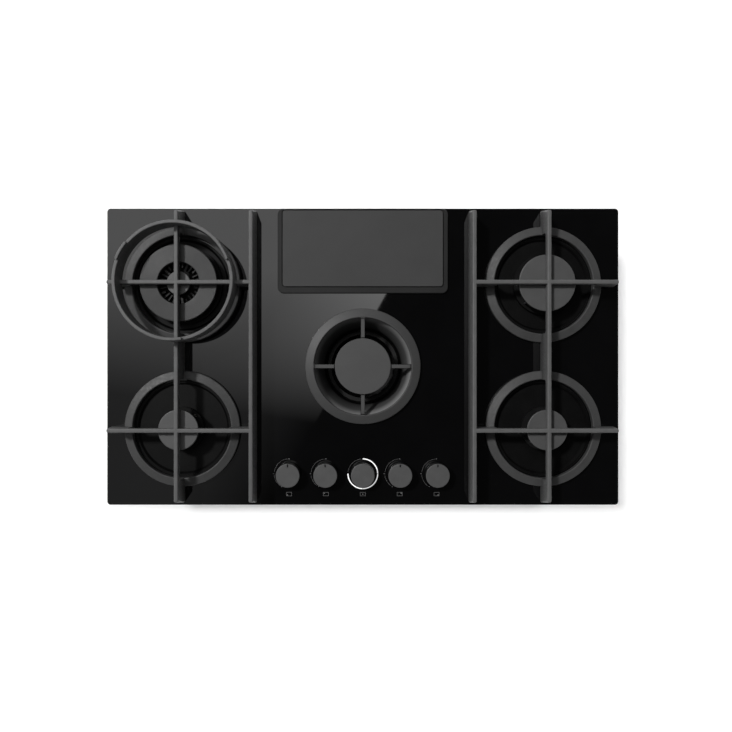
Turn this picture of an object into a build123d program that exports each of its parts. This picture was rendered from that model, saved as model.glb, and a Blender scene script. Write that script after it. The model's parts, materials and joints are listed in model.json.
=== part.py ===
from build123d import *

import math
import os

# A built-in gas cooktop with a downdraft extractor in its middle. Millimetres. X runs to
# the right, Y to the rear and Z up. The origin is under the middle of the glass, on the
# flat bottom of the extractor housing.

# --- Glass top --------------------------------------------------------------------------------
GLASS_WIDTH = 880.0
GLASS_DEPTH = 510.0
GLASS_THICKNESS = 6.0
GLASS_CORNER = 6.0
GLASS_EDGE_CHAMFER = 0.6

# --- Heights of the two boxes under the glass -------------------------------------------------
HOUSING_HEIGHT = 150.0
BOX_HEIGHT = 60.0
SHEET = 1.2
BOX_RIM = 17.0

# --- Foam seal under the rim of the glass -----------------------------------------------------
SEAL_THICKNESS = 3.0
SEAL_WIDTH = 10.0
SEAL_INSET = 3.0

# --- Burner places and pan supports -----------------------------------------------------------
BURNER_OUTWARD_SHIFT = 4.5
BURNER_MIDDLE_SHIFT = 4.5
SUPPORT_HEIGHT = 50.0
SUPPORT_END_MARGIN = 13.5
SIDE_BAR_SHIFT = 35.0
ARM_MARGIN = 17.0
FIN_WIDTH = 7.0
FIN_SPAN_DEPTH = 12.0
FIN_TOP_ROUND = 2.0
FIN_END_ROUND = 3.0
FIN_NOTCH_ROUND = 6.0
FIN_FOOT_REACH = 9.0
BASE_RING_OUTER = 98.75
BASE_RING_INNER = 84.0
BASE_RING_HEIGHT = 13.0
BASE_RING_FALL = 4.0
BASE_RING_ROUND = 1.5
PAD_THICKNESS = 2.0
PAD_LENGTH = 14.0
PAD_WIDTH = 5.0
PAD_INSET = 5.0

# --- Wok ring on the rear left burner ---------------------------------------------------------
WOK_OUTER = 98.5
WOK_WALL = 5.6
WOK_HEIGHT = 36.0
WOK_OVERLAP = 14.0
WOK_SLOT_CLEARANCE = 0.6
WOK_LUG_HEIGHT = 6.0
WOK_LUG_ANGLE = 17.0
WOK_LUG_START = 30.0
WOK_LUGS = 3
WOK_LUG_INSET = 0.4
WOK_ROUND = 1.2

# --- Burner heads -----------------------------------------------------------------------------
CAP_RADII = {"rear_left": 65.0, "rear_right": 47.5, "front_left": 34.0, "front_right": 34.0}
CAP_TOP = 35.0
CAP_THICKNESS = 6.0
CAP_ROUND = 1.5
CAP_LIP_HEIGHT = 4.0
CAP_LIP_WIDTH = 2.0
CAP_OVERHANG = 5.0
HEAD_CLEARANCE = 0.5
CROWN_SEAT = 8.0
CROWN_WALL = 8.0
CROWN_FLOOR = 4.0
CROWN_SKIRT = 10.0
CROWN_SKIRT_WALL = 3.0
CROWN_THROAT = 9.0
PORT_WIDTH = 1.8
PORT_HEIGHT = 6.0
PORT_PITCH = 7.4
WOK_CAP_HOLE = 35.0
INNER_CAP_RADIUS = 20.0
INNER_CAP_THICKNESS = 5.0
INNER_CROWN_WALL = 5.0

# --- Burner cups and bowls --------------------------------------------------------------------
CUP_FOOT_RADIUS = 26.0
CUP_FOOT_THICKNESS = 4.0
CUP_BOSS_RADIUS = 20.0
CUP_CONE_DEPTH = 30.0
CUP_FLANGE = 8.0
CUP_NIPPLE_RADIUS = 6.0
CUP_NIPPLE_LENGTH = 8.0
BOWL_RADIUS = 82.5
BOWL_FLOOR_RADIUS = 75.0
BOWL_SHEET = 1.5
BOWL_DROP = 4.0
BOWL_RIM_WIDTH = 4.0
BOWL_LIP = 3.0
BOWL_SEAT = 2.0
GLASS_GAP = 1.0
ELECTRODE_RADIUS = 2.0
ELECTRODE_OFFSET = 2.6
ELECTRODE_TOP = 27.0
ELECTRODE_BOTTOM = -28.0
ELECTRODE_ANGLE = 45.0
THERMOCOUPLE_RADIUS = 1.5
THERMOCOUPLE_ANGLE = 225.0
PIN_CLEARANCE = 0.2

# --- Extractor inlet --------------------------------------------------------------------------
INLET_Y = -16.5
GRILLE_OUTER = 99.0
GRILLE_INNER = 83.3
GRILLE_TOP = 10.0
GRILLE_FALL = 3.0
GRILLE_DISC_RADIUS = 47.75
GRILLE_SPOKE_WIDTH = 7.5
GRILLE_SPOKE_DEPTH = 6.0
GRILLE_SPOKE_OVERLAP = 1.5
GRILLE_ROUND = 1.5
FUNNEL_FLANGE = 96.0
FUNNEL_TOP_RADIUS = 84.0
FUNNEL_THROAT = 65.0
FUNNEL_SLOPE_DEPTH = 44.0
FUNNEL_REACH = 4.0
FUNNEL_LIP = 5.0
FILTER_RIM_CLEARANCE = 1.0
FILTER_RIM_THICKNESS = 2.0
FILTER_WALL = 1.5
FILTER_WINDOW_REACH = 8.0
FILTER_LENGTH = 100.0
FILTER_CUP_DEPTH = 30.0
FILTER_WINDOWS = 18
FILTER_WINDOW_WIDTH = 11.0
FILTER_WINDOW_MARGIN = 5.0

# --- Lid over the odour filters ---------------------------------------------------------------
FRAME_WIDTH = 292.0
FRAME_DEPTH = 145.0
FRAME_REAR_INSET = 1.0
FRAME_HEIGHT = 5.0
FRAME_CORNER = 10.0
FRAME_SIDE = 7.0
FRAME_FRONT_BAR = 10.0
FRAME_REAR_BAR = 1.6
FRAME_LEDGE = 1.0
LID_GAP = 1.4
LID_CORNER = 5.0
LID_ROUND = 0.8
SHAFT_WIDTH = 262.0
SHAFT_FRONT_INSET = 15.0
SHAFT_REAR_INSET = 33.0
SHAFT_WALL = 2.0
SHAFT_GAP = 2.0

# --- Extractor housing, fan and filters -------------------------------------------------------
HOUSING_WIDTH = 640.0
HOUSING_FRONT = -200.0
HOUSING_REAR_SETBACK = 13.0
HOUSING_FLANGE = 12.0
COMPARTMENT_WIDTH = 261.2
COMPARTMENT_MARGIN = 6.0
FAN_X = 195.0
FAN_REAR_DISTANCE = 175.0
IMPELLER_RADIUS = 75.0
IMPELLER_BLADE_WIDTH = 13.0
IMPELLER_BLADE_THICKNESS = 1.6
IMPELLER_BLADE_TILT = 30.0
IMPELLER_BLADES = 30
IMPELLER_BOTTOM = 12.0
IMPELLER_HEIGHT = 68.0
IMPELLER_PLATE = 2.0
HUB_GAP = 4.0
SCROLL_START = 82.0
SCROLL_END = 125.0
SCROLL_TONGUE = 30.0
SCROLL_STEP = 30.0
SCROLL_WALL = 2.0
SCROLL_HEIGHT = 90.0
SCROLL_EYE = 58.0
MOTOR_RADIUS = 38.0
MOTOR_HEIGHT = 42.0
MOTOR_SHAFT_RADIUS = 4.0
MOTOR_SHAFT_DEPTH = 28.0
RUNNING_CLEARANCE = 0.05
ODOUR_FILTER_WIDTH = 122.0
ODOUR_FILTER_DEPTH = 38.0
ODOUR_FILTER_HEIGHT = 110.0
ODOUR_FILTER_GAP = 6.0
ODOUR_FILTER_SETBACK = 6.0
ODOUR_CELL = 9.0
ODOUR_CELL_PITCH = 12.0
ODOUR_CELL_DEPTH = 3.0
ODOUR_HANDLE_HEIGHT = 12.0
ODOUR_HANDLE_LENGTH = 50.0
ODOUR_HANDLE_WIDTH = 8.0
ODOUR_HANDLE_BAR = 3.0
STANDOFF = 0.3
DUCT_WIDTH = 222.0
DUCT_HEIGHT = 89.0
DUCT_LENGTH = 25.0
DUCT_WALL = 2.0
DUCT_FLANGE = 10.0
DUCT_CENTRE_HEIGHT = 60.0
GLAND_X = -220.0
GLAND_HEIGHT = 110.0
GLAND_RADIUS = 8.0
GLAND_HEAD_RADIUS = 11.0
GLAND_BORE = 4.5
GLAND_LENGTH = 12.0
GLAND_HEAD = 6.0

# --- Controls ---------------------------------------------------------------------------------
KNOB_PITCH = 63.5
KNOB_FRONT_DISTANCE = 53.5
KNOB_RADIUS = 20.25
KNOB_TOP = 23.0
KNOB_LIFT = 4.5
KNOB_CAVITY = 17.0
KNOB_CAVITY_TOP = 14.0
KNOB_HUB_RADIUS = 7.5
KNOB_HUB_LIFT = 8.0
KNOB_ROUND = 1.2
POINTER_WIDTH = 1.8
POINTER_LENGTH = 7.0
POINTER_DEPTH = 1.2
SPINDLE_RADIUS = 4.0
SPINDLE_FLAT = 1.2
SPINDLE_TOP = 18.0
SPINDLE_FIT = 0.02
SPINDLE_HOLE = 6.0
KNOB_SEAL_RADIUS = 9.5
KNOB_SEAL_HEIGHT = 3.0
KNOB_SEAL_GAP = 0.3
TAP_WIDTH = 26.0
TAP_REACH = 13.5
TAP_HEIGHT = 41.0
TAP_BORE_DEPTH = 12.0
TAP_LOWER_BORE_DEPTH = 16.0
PLUNGER_RADIUS = 3.0
PLUNGER_LENGTH = 16.0
PLUNGER_STEP = 4.0
TAP_CHAMFER = 2.0
ENCODER_SIZE = 26.0
ENCODER_HEIGHT = 34.0
LIGHT_RING_RADIUS = 25.6
LIGHT_RING_WIDTH = 2.0
LIGHT_RING_DEPTH = 1.5
LIGHT_RING_SWEEP = 270.0
LIGHT_RING_FIT = 0.05

# --- Gas rail and pipes -----------------------------------------------------------------------
RAIL_SIZE = 14.0
RAIL_WALL = 2.0
RAIL_LEFT_OVERHANG = 18.0
RAIL_RIGHT_INSET = 45.0
RAIL_REAR_INSET = 50.0
RAIL_BEND = 20.0
RAIL_HEIGHT = 24.0
INLET_BLOCK = 24.0
INLET_THREAD_RADIUS = 10.48
INLET_THREAD_LENGTH = 16.0
INLET_NECK_RADIUS = 9.0
INLET_NUT_ACROSS = 24.0
INLET_NUT_HEIGHT = 8.0
INLET_NUT_DROP = 4.0
INLET_BORE = 6.0
INLET_HOLE_GAP = 2.0
PIPE_RADIUS = 4.0
PIPE_BORE = 3.0
PIPE_BEND = 20.0
PIPE_HEIGHT = 24.0
REAR_PIPE_GAP = 23.0
REAR_PIPE_X = 200.0

# --- Electrics, brackets and screws -----------------------------------------------------------
CONTROL_WIDTH = 120.0
CONTROL_DEPTH = 150.0
CONTROL_HEIGHT = 45.0
CONTROL_X = -240.0
CONTROL_Y = 60.0
IGNITION_WIDTH = 60.0
IGNITION_DEPTH = 36.0
IGNITION_HEIGHT = 28.0
IGNITION_X = -118.0
IGNITION_SHAFT_GAP = 16.0
EDGE_ROUND = 3.0
BRACKET_WIDTH = 26.0
BRACKET_SHEET = 2.0
BRACKET_HEIGHT = 34.0
BRACKET_LEG = 14.0
BRACKET_DROP = 10.0
BRACKET_Y = 150.0
BRACKET_SCREW_HEIGHT = 14.0
CLAMP_HOLE_RADIUS = 2.1
CLAMP_HOLE_INSET = 6.0
SCREW_RADIUS = 2.0
SCREW_HEAD_RADIUS = 3.8
SCREW_HEAD_HEIGHT = 2.4
SCREW_LENGTH = 6.0
SCREW_HOLE_GAP = 0.2
SCREW_COLUMNS = 4

# --- Levels and places that follow from the sizes above ---------------------------------------
glass_bottom = HOUSING_HEIGHT + BOX_HEIGHT
glass_top = glass_bottom + GLASS_THICKNESS
box_floor = HOUSING_HEIGHT + SHEET
box_width = GLASS_WIDTH - 2 * BOX_RIM
box_depth = GLASS_DEPTH - 2 * BOX_RIM
support_bottom = glass_top + PAD_THICKNESS
support_top = glass_top + SUPPORT_HEIGHT
notch_top = support_top - FIN_SPAN_DEPTH
arm_end_x = GLASS_WIDTH / 2 - ARM_MARGIN
support_length = GLASS_DEPTH - 2 * SUPPORT_END_MARGIN
side_bar_x = GLASS_WIDTH / 4 - SIDE_BAR_SHIFT
burner_x = (side_bar_x + arm_end_x) / 2 + BURNER_OUTWARD_SHIFT
burner_y = GLASS_DEPTH / 4 - BURNER_MIDDLE_SHIFT
knob_y = KNOB_FRONT_DISTANCE - GLASS_DEPTH / 2
frame_rear = GLASS_DEPTH / 2 - FRAME_REAR_INSET
frame_front = frame_rear - FRAME_DEPTH
shaft_front = frame_front + SHAFT_FRONT_INSET
shaft_rear = frame_rear - SHAFT_REAR_INSET
housing_rear = box_depth / 2 - HOUSING_REAR_SETBACK
compartment_front = shaft_front - COMPARTMENT_MARGIN
fan_y = housing_rear - FAN_REAR_DISTANCE
rail_right_x = GLASS_WIDTH / 2 - RAIL_RIGHT_INSET
rail_rear_y = GLASS_DEPTH / 2 - RAIL_REAR_INSET
rear_pipe_y = REAR_PIPE_GAP - burner_y
ignition_y = shaft_front - SHAFT_WALL - IGNITION_SHAFT_GAP - IGNITION_DEPTH / 2
funnel_bottom = HOUSING_HEIGHT - FUNNEL_REACH
funnel_outer = FUNNEL_THROAT + SHEET
filter_seat = funnel_bottom + SHEET
fan_floor = SHEET + STANDOFF
spindle_bottom = box_floor + TAP_HEIGHT - TAP_BORE_DEPTH + PLUNGER_STEP
knob_places = {
    "front_left": -2 * KNOB_PITCH,
    "rear_left": -KNOB_PITCH,
    "rear_right": KNOB_PITCH,
    "front_right": 2 * KNOB_PITCH,
}
burner_places = {
    "rear_left": (-burner_x, burner_y),
    "rear_right": (burner_x, burner_y),
    "front_left": (-burner_x, -burner_y),
    "front_right": (burner_x, -burner_y),
}
INLET = (0, INLET_Y)
EVERY_KNOB = [(step * KNOB_PITCH, knob_y) for step in range(-2, 3)]

os.makedirs("parts", exist_ok=True)


def save_shape(shape, label):
    """Names a finished shape and writes it to its own file."""
    shape.label = label
    export_step(shape, f"parts/{label}.step")


def save(piece, label):
    """Writes the part that a builder holds."""
    save_shape(piece.part, label)


def crown_radius(place):
    """Radius of the burner crown under the cap at one place."""
    return CAP_RADII[place] - CAP_OVERHANG


def ring_sector(radius, width, start, sweep):
    """Draws a flat arc of the given width about its centre line."""
    with BuildLine() as outline:
        outer = CenterArc((0, 0), radius + width / 2, start, sweep)
        inner = CenterArc((0, 0), radius - width / 2, start, sweep)
        Line(outer @ 0, inner @ 0)
        Line(outer @ 1, inner @ 1)
    make_face(outline.edges())


def round_ended_arc(radius, width, start, sweep):
    """Draws a flat arc with round ends about its centre line."""
    with BuildLine() as centre_line:
        CenterArc((0, 0), radius, start, sweep)
    SlotArc(centre_line.edge(), width)


# === Glass panel and seal =====================================================================
def lid_rectangle(width, front, rear, corner):
    """Draws a rounded rectangle that is centred on X and runs from front to rear."""
    with Locations((0, (front + rear) / 2)):
        RectangleRounded(width, rear - front, corner)


with BuildPart() as glass_panel:
    with BuildSketch(Plane.XY.offset(glass_bottom)):
        RectangleRounded(GLASS_WIDTH, GLASS_DEPTH, GLASS_CORNER)
        with Locations(*burner_places.values()):
            Circle(BOWL_RADIUS - BOWL_RIM_WIDTH, mode=Mode.SUBTRACT)
        with Locations(INLET):
            Circle(FUNNEL_TOP_RADIUS + SHEET + GLASS_GAP, mode=Mode.SUBTRACT)
        with Locations(*EVERY_KNOB):
            Circle(SPINDLE_HOLE, mode=Mode.SUBTRACT)
        with Locations((0, (shaft_front + shaft_rear) / 2)):
            hole_growth = 2 * (SHAFT_WALL + SHAFT_GAP)
            Rectangle(SHAFT_WIDTH + hole_growth, shaft_rear - shaft_front + hole_growth, mode=Mode.SUBTRACT)
    extrude(amount=GLASS_THICKNESS)
    chamfer(glass_panel.faces().sort_by(Axis.Z)[-1].outer_wire().edges(), GLASS_EDGE_CHAMFER)
    with BuildSketch(Plane.XY.offset(glass_top - LIGHT_RING_DEPTH)):
        with Locations((0, knob_y)):
            Circle(LIGHT_RING_RADIUS + LIGHT_RING_WIDTH / 2 + LIGHT_RING_FIT)
            Circle(LIGHT_RING_RADIUS - LIGHT_RING_WIDTH / 2 - LIGHT_RING_FIT, mode=Mode.SUBTRACT)
    extrude(amount=LIGHT_RING_DEPTH, mode=Mode.SUBTRACT)
save(glass_panel, "glass_panel")

with BuildPart() as worktop_seal:
    with BuildSketch(Plane.XY.offset(glass_bottom - SEAL_THICKNESS)):
        outer_inset = 2 * SEAL_INSET
        inner_inset = 2 * (SEAL_INSET + SEAL_WIDTH)
        RectangleRounded(GLASS_WIDTH - outer_inset, GLASS_DEPTH - outer_inset, GLASS_CORNER)
        Rectangle(GLASS_WIDTH - inner_inset, GLASS_DEPTH - inner_inset, mode=Mode.SUBTRACT)
    extrude(amount=SEAL_THICKNESS)
save(worktop_seal, "worktop_seal")


# === Light ring round the middle knob =========================================================
with BuildPart() as light_ring:
    with BuildSketch(Plane((0, knob_y, glass_top - LIGHT_RING_DEPTH))):
        ring_sector(LIGHT_RING_RADIUS, LIGHT_RING_WIDTH, 90 - LIGHT_RING_SWEEP, LIGHT_RING_SWEEP)
    extrude(amount=LIGHT_RING_DEPTH)
save(light_ring, "light_ring")


# === Burner box: the steel tray that hangs under the glass ====================================
flange_middle_y = (HOUSING_FRONT + housing_rear) / 2
flange_depth = housing_rear - HOUSING_FRONT
screw_spacing_x = HOUSING_WIDTH / (SCREW_COLUMNS - 1)
screw_row_y = (flange_depth + HOUSING_FLANGE) / 2
FLANGE_SCREWS = [
    (screw_spacing_x * (column - (SCREW_COLUMNS - 1) / 2), flange_middle_y + side * screw_row_y)
    for column in range(SCREW_COLUMNS)
    for side in (-1, 1)
]
BRACKET_PLACES = [(side, y) for side in (-1, 1) for y in (-BRACKET_Y, BRACKET_Y)]
inlet_hole_radius = INLET_NUT_ACROSS / math.sqrt(3) + INLET_HOLE_GAP

with BuildPart() as burner_box:
    with BuildSketch(Plane.XY.offset(HOUSING_HEIGHT)):
        Rectangle(box_width, box_depth)
    extrude(amount=BOX_HEIGHT)
    with BuildSketch(Plane.XY.offset(box_floor)):
        Rectangle(box_width - 2 * SHEET, box_depth - 2 * SHEET)
    extrude(amount=BOX_HEIGHT, mode=Mode.SUBTRACT)
    with BuildSketch(Plane.XY.offset(HOUSING_HEIGHT)):
        with Locations(INLET):
            Circle(funnel_outer + GLASS_GAP)
        with Locations((0, (shaft_front + shaft_rear) / 2)):
            box_growth = 2 * (SHAFT_WALL + STANDOFF)
            Rectangle(SHAFT_WIDTH + box_growth, shaft_rear - shaft_front + box_growth)
        with Locations((rail_right_x, rail_rear_y)):
            Circle(inlet_hole_radius)
        with Locations(*FLANGE_SCREWS):
            Circle(SCREW_RADIUS + SCREW_HOLE_GAP)
    extrude(amount=SHEET, mode=Mode.SUBTRACT)
    for y in (-BRACKET_Y, BRACKET_Y):
        with BuildSketch(Plane.YZ.offset(-box_width / 2)):
            with Locations((y, HOUSING_HEIGHT + BRACKET_SCREW_HEIGHT)):
                Circle(SCREW_RADIUS + SCREW_HOLE_GAP)
        extrude(amount=box_width, mode=Mode.SUBTRACT)
save(burner_box, "burner_box")


# === Pan supports: cast iron fins over two base rings =========================================
def base_ring():
    """Makes the low ring round one burner. Its top falls a little towards the outside."""
    ring_top = glass_top + BASE_RING_HEIGHT
    with BuildPart() as ring:
        with BuildSketch(Plane.XZ):
            with BuildLine():
                Polyline(
                    (BASE_RING_INNER, support_bottom),
                    (BASE_RING_OUTER, support_bottom),
                    (BASE_RING_OUTER, ring_top - BASE_RING_FALL),
                    (BASE_RING_INNER, ring_top),
                    close=True,
                )
            make_face()
        revolve(axis=Axis.Z)
        fillet(ring.edges().filter_by(GeomType.CIRCLE).sort_by(Axis.Z)[-2:], BASE_RING_ROUND)
    return ring.part


def fin(start, end, notches, start_foot=FIN_FOOT_REACH):
    """Makes one upright fin along X, with spread feet and an open span over each burner."""
    with BuildPart() as blade:
        with BuildSketch(Plane.XZ):
            with BuildLine():
                Polyline(
                    (start - start_foot, support_bottom),
                    (end + FIN_FOOT_REACH, support_bottom),
                    (end, support_top),
                    (start, support_top),
                    close=True,
                )
            make_face()
            for x in notches:
                with Locations((x, support_bottom)):
                    notch_height = 2 * (notch_top - support_bottom)
                    RectangleRounded(2 * BASE_RING_INNER, notch_height, FIN_NOTCH_ROUND, mode=Mode.SUBTRACT)
        extrude(amount=FIN_WIDTH / 2, both=True)
        across = blade.faces().sort_by(Axis.X)
        end_edges = across[0].edges() + across[-1].edges()
        fillet(end_edges.filter_by(Axis.Y, reverse=True), FIN_END_ROUND)
        fillet(blade.edges().group_by(Axis.Z)[-1], FIN_TOP_ROUND)
    return blade.part


def pan_support(side):
    """Joins two base rings, the long fin, the side bar and the two cross arms of one support."""
    half = support_length / 2
    long_fin = fin(-half, half, (-burner_y, burner_y))
    side_bar = fin(-half, half, ())
    arm = fin(side_bar_x - FIN_WIDTH / 2, arm_end_x, (burner_x,), start_foot=0)
    ring = base_ring()
    with BuildPart() as support:
        for y in (-burner_y, burner_y):
            with Locations((side * burner_x, y)):
                add(ring)
            with Locations(Location((0, y), 0 if side > 0 else 180)):
                add(arm)
        with Locations(Location((side * burner_x, 0), 90)):
            add(long_fin)
        with Locations(Location((side * side_bar_x, 0), 90)):
            add(side_bar)
    return support


def support_pads(side):
    """Makes the rubber pads that one pan support stands on."""
    pad_y = support_length / 2 - PAD_INSET - PAD_LENGTH / 2
    lengthways = [(side * x, y) for x in (side_bar_x, burner_x) for y in (-pad_y, 0, pad_y)]
    crossways = [(side * (arm_end_x - PAD_INSET - PAD_LENGTH / 2), y) for y in (-burner_y, burner_y)]
    with BuildPart() as pads:
        with BuildSketch(Plane.XY.offset(glass_top)):
            with Locations(*lengthways):
                Rectangle(PAD_WIDTH, PAD_LENGTH)
            with Locations(*crossways):
                Rectangle(PAD_LENGTH, PAD_WIDTH)
        extrude(amount=PAD_THICKNESS)
    return pads


for side_name, side in (("left", -1), ("right", 1)):
    save(pan_support(side), f"{side_name}_pan_support")
    save(support_pads(side), f"{side_name}_support_pads")


# === Wok ring: stands over the fins of the rear left burner ===================================
wok_x, wok_y = burner_places["rear_left"]
wok_bottom = support_top - WOK_OVERLAP

with BuildPart() as wok_ring:
    with BuildSketch(Plane((wok_x, wok_y, wok_bottom))):
        Circle(WOK_OUTER)
        Circle(WOK_OUTER - WOK_WALL, mode=Mode.SUBTRACT)
    extrude(amount=WOK_HEIGHT)
    fillet(wok_ring.edges().group_by(Axis.Z)[-1], WOK_ROUND)
    with BuildSketch(Plane((wok_x, wok_y, wok_bottom + WOK_HEIGHT - 2 * WOK_ROUND))):
        for lug in range(WOK_LUGS):
            lug_middle = WOK_LUG_START + lug * 360 / WOK_LUGS
            lug_start = lug_middle - WOK_LUG_ANGLE / 2
            lug_width = WOK_WALL - 2 * WOK_LUG_INSET
            round_ended_arc(WOK_OUTER - WOK_WALL / 2, lug_width, lug_start, WOK_LUG_ANGLE)
    extrude(amount=WOK_LUG_HEIGHT + 2 * WOK_ROUND)
    fillet(wok_ring.edges().group_by(Axis.Z)[-1], WOK_ROUND)
    slot_width = FIN_WIDTH + 2 * WOK_SLOT_CLEARANCE
    with BuildSketch(Plane((wok_x, wok_y, wok_bottom))):
        Rectangle(2 * (WOK_OUTER + WOK_WALL), slot_width)
        Rectangle(slot_width, 2 * (WOK_OUTER + WOK_WALL))
    extrude(amount=WOK_OVERLAP, mode=Mode.SUBTRACT)
save(wok_ring, "wok_ring")


# === Burner bowls, cups, crowns and caps ======================================================
def ring_block(plane, outer, inner, height):
    """Adds a plain ring, or a disc where inner is zero, to the part being built."""
    with BuildSketch(plane) as ring:
        Circle(outer)
        if inner:
            Circle(inner, mode=Mode.SUBTRACT)
    extrude(ring.sketch, amount=height)


def drill(plane, radius, depth):
    """Cuts a round hole from a plane into the part being built."""
    with BuildSketch(plane) as hole:
        Circle(radius)
    extrude(hole.sketch, amount=depth, mode=Mode.SUBTRACT)


def burner_plane(place, height):
    """Level plane at a height above the glass, centred on one burner."""
    x, y = burner_places[place]
    return Plane((x, y, glass_top + height))


def bowl_hole(place):
    """Radius of the hole in a bowl, which the cup's flange covers."""
    return crown_radius(place) + CUP_FLANGE - BOWL_SEAT


def burner_bowl(place):
    """Draws a bowl's section and turns it round one burner."""
    x, y = burner_places[place]
    rim_inner = BOWL_RADIUS - BOWL_RIM_WIDTH
    floor_top = BOWL_SHEET - BOWL_DROP
    with BuildSketch(Plane((x, y, glass_top), x_dir=(1, 0, 0), z_dir=(0, -1, 0))) as section:
        with BuildLine():
            Polyline(
                (bowl_hole(place), floor_top),
                (BOWL_FLOOR_RADIUS, floor_top),
                (rim_inner, BOWL_SHEET),
                (BOWL_RADIUS - BOWL_SHEET, BOWL_SHEET),
                (BOWL_RADIUS - BOWL_SHEET, BOWL_LIP),
                (BOWL_RADIUS, BOWL_LIP),
                (BOWL_RADIUS, 0),
                (rim_inner - BOWL_SHEET / 2, 0),
                (BOWL_FLOOR_RADIUS, floor_top - BOWL_SHEET),
                (bowl_hole(place), floor_top - BOWL_SHEET),
                close=True,
            )
        make_face()
    revolve(section.sketch, axis=Axis((x, y, glass_top), (0, 0, 1)))


with BuildPart() as burner_bowls:
    for place in burner_places:
        burner_bowl(place)
save(burner_bowls, "burner_bowls")

pipe_level = box_floor + PIPE_HEIGHT
cup_foot = box_floor - glass_top
cup_seat = BOWL_SHEET - BOWL_DROP
skirt_bottom = CROWN_SEAT - CROWN_SKIRT


def burner_cup(place):
    """Makes the fixed cup of one burner, from its foot on the box floor to its flange."""
    x, y = burner_places[place]
    radius = crown_radius(place)
    recess = radius - CROWN_WALL + HEAD_CLEARANCE
    recess_floor = skirt_bottom - HEAD_CLEARANCE
    inward = -1 if x > 0 else 1
    with BuildSketch(Plane((x, y, glass_top), x_dir=(1, 0, 0), z_dir=(0, -1, 0))) as section:
        with BuildLine():
            Polyline(
                (CROWN_THROAT, cup_foot),
                (CUP_FOOT_RADIUS, cup_foot),
                (CUP_FOOT_RADIUS, cup_foot + CUP_FOOT_THICKNESS),
                (CUP_BOSS_RADIUS, cup_foot + CUP_FOOT_THICKNESS),
                (CUP_BOSS_RADIUS, -CUP_CONE_DEPTH),
                (radius, cup_seat),
                (radius + CUP_FLANGE, cup_seat),
                (radius + CUP_FLANGE, CROWN_SEAT),
                (recess, CROWN_SEAT),
                (recess, recess_floor),
                (CROWN_THROAT, recess_floor),
                close=True,
            )
        make_face()
    revolve(section.sketch, axis=Axis((x, y, glass_top), (0, 0, 1)))
    nipple_plane = Plane((x, y, pipe_level), x_dir=(0, 1, 0), z_dir=(inward, 0, 0))
    ring_block(nipple_plane, CUP_NIPPLE_RADIUS, 0, CUP_BOSS_RADIUS + CUP_NIPPLE_LENGTH)
    drill(nipple_plane, PIPE_BORE, CUP_BOSS_RADIUS + CUP_NIPPLE_LENGTH)
    drill(Plane((x, y, box_floor)), CROWN_THROAT, recess_floor - cup_foot)
    for angle, size in ((ELECTRODE_ANGLE, ELECTRODE_RADIUS), (THERMOCOUPLE_ANGLE, THERMOCOUPLE_RADIUS)):
        with PolarLocations(radius + ELECTRODE_OFFSET, 1, start_angle=angle) as spots:
            spot = spots.locations[0].position
        hole_plane = Plane((x + spot.X, y + spot.Y, glass_top + cup_seat))
        drill(hole_plane, size + PIN_CLEARANCE, CROWN_SEAT - cup_seat)


with BuildPart() as burner_cups:
    for place in burner_places:
        burner_cup(place)
save(burner_cups, "burner_cups")


def burner_pins(angle, radius):
    """Makes one upright pin beside each burner, hidden under the edge of its cap."""
    with BuildPart() as pins:
        for place in burner_places:
            with BuildSketch(burner_plane(place, ELECTRODE_BOTTOM)):
                with PolarLocations(crown_radius(place) + ELECTRODE_OFFSET, 1, start_angle=angle):
                    Circle(radius)
            extrude(amount=ELECTRODE_TOP - ELECTRODE_BOTTOM)
    return pins


save(burner_pins(ELECTRODE_ANGLE, ELECTRODE_RADIUS), "spark_electrodes")
save(burner_pins(THERMOCOUPLE_ANGLE, THERMOCOUPLE_RADIUS), "thermocouples")

crown_height = CAP_TOP - CAP_THICKNESS - CROWN_SEAT
wall_height = crown_height - CROWN_FLOOR


def flame_ports(place, radius, wall):
    """Cuts the row of flame ports through the wall whose outside has the given radius."""
    count = round(2 * math.pi * radius / PORT_PITCH)
    with BuildSketch(burner_plane(place, CAP_TOP - CAP_THICKNESS - PORT_HEIGHT)) as ports:
        with PolarLocations(radius - wall / 2, count, start_angle=180 / count):
            Rectangle(wall + 2 * HEAD_CLEARANCE, PORT_WIDTH)
    extrude(ports.sketch, amount=PORT_HEIGHT, mode=Mode.SUBTRACT)


def burner_crown(place):
    """Makes the loose crown that spreads the gas of one burner."""
    radius = crown_radius(place)
    floor_plane = burner_plane(place, CROWN_SEAT)
    wall_plane = burner_plane(place, CROWN_SEAT + CROWN_FLOOR)
    skirt_outer = radius - CROWN_WALL
    with BuildPart() as crown:
        skirt_plane = burner_plane(place, skirt_bottom)
        ring_block(skirt_plane, skirt_outer, skirt_outer - CROWN_SKIRT_WALL, CROWN_SKIRT)
        ring_block(floor_plane, radius, CROWN_THROAT, CROWN_FLOOR)
        ring_block(wall_plane, radius, radius - CROWN_WALL, wall_height)
        if place == "rear_left":
            inner_edge = WOK_CAP_HOLE + CROWN_WALL
            ring_block(wall_plane, inner_edge, WOK_CAP_HOLE, wall_height)
            head_outer = INNER_CAP_RADIUS - CAP_LIP_WIDTH
            ring_block(wall_plane, head_outer, head_outer - INNER_CROWN_WALL, wall_height)
            flame_ports(place, inner_edge, CROWN_WALL)
            flame_ports(place, head_outer, INNER_CROWN_WALL)
        flame_ports(place, radius, CROWN_WALL)
    return crown


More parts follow.
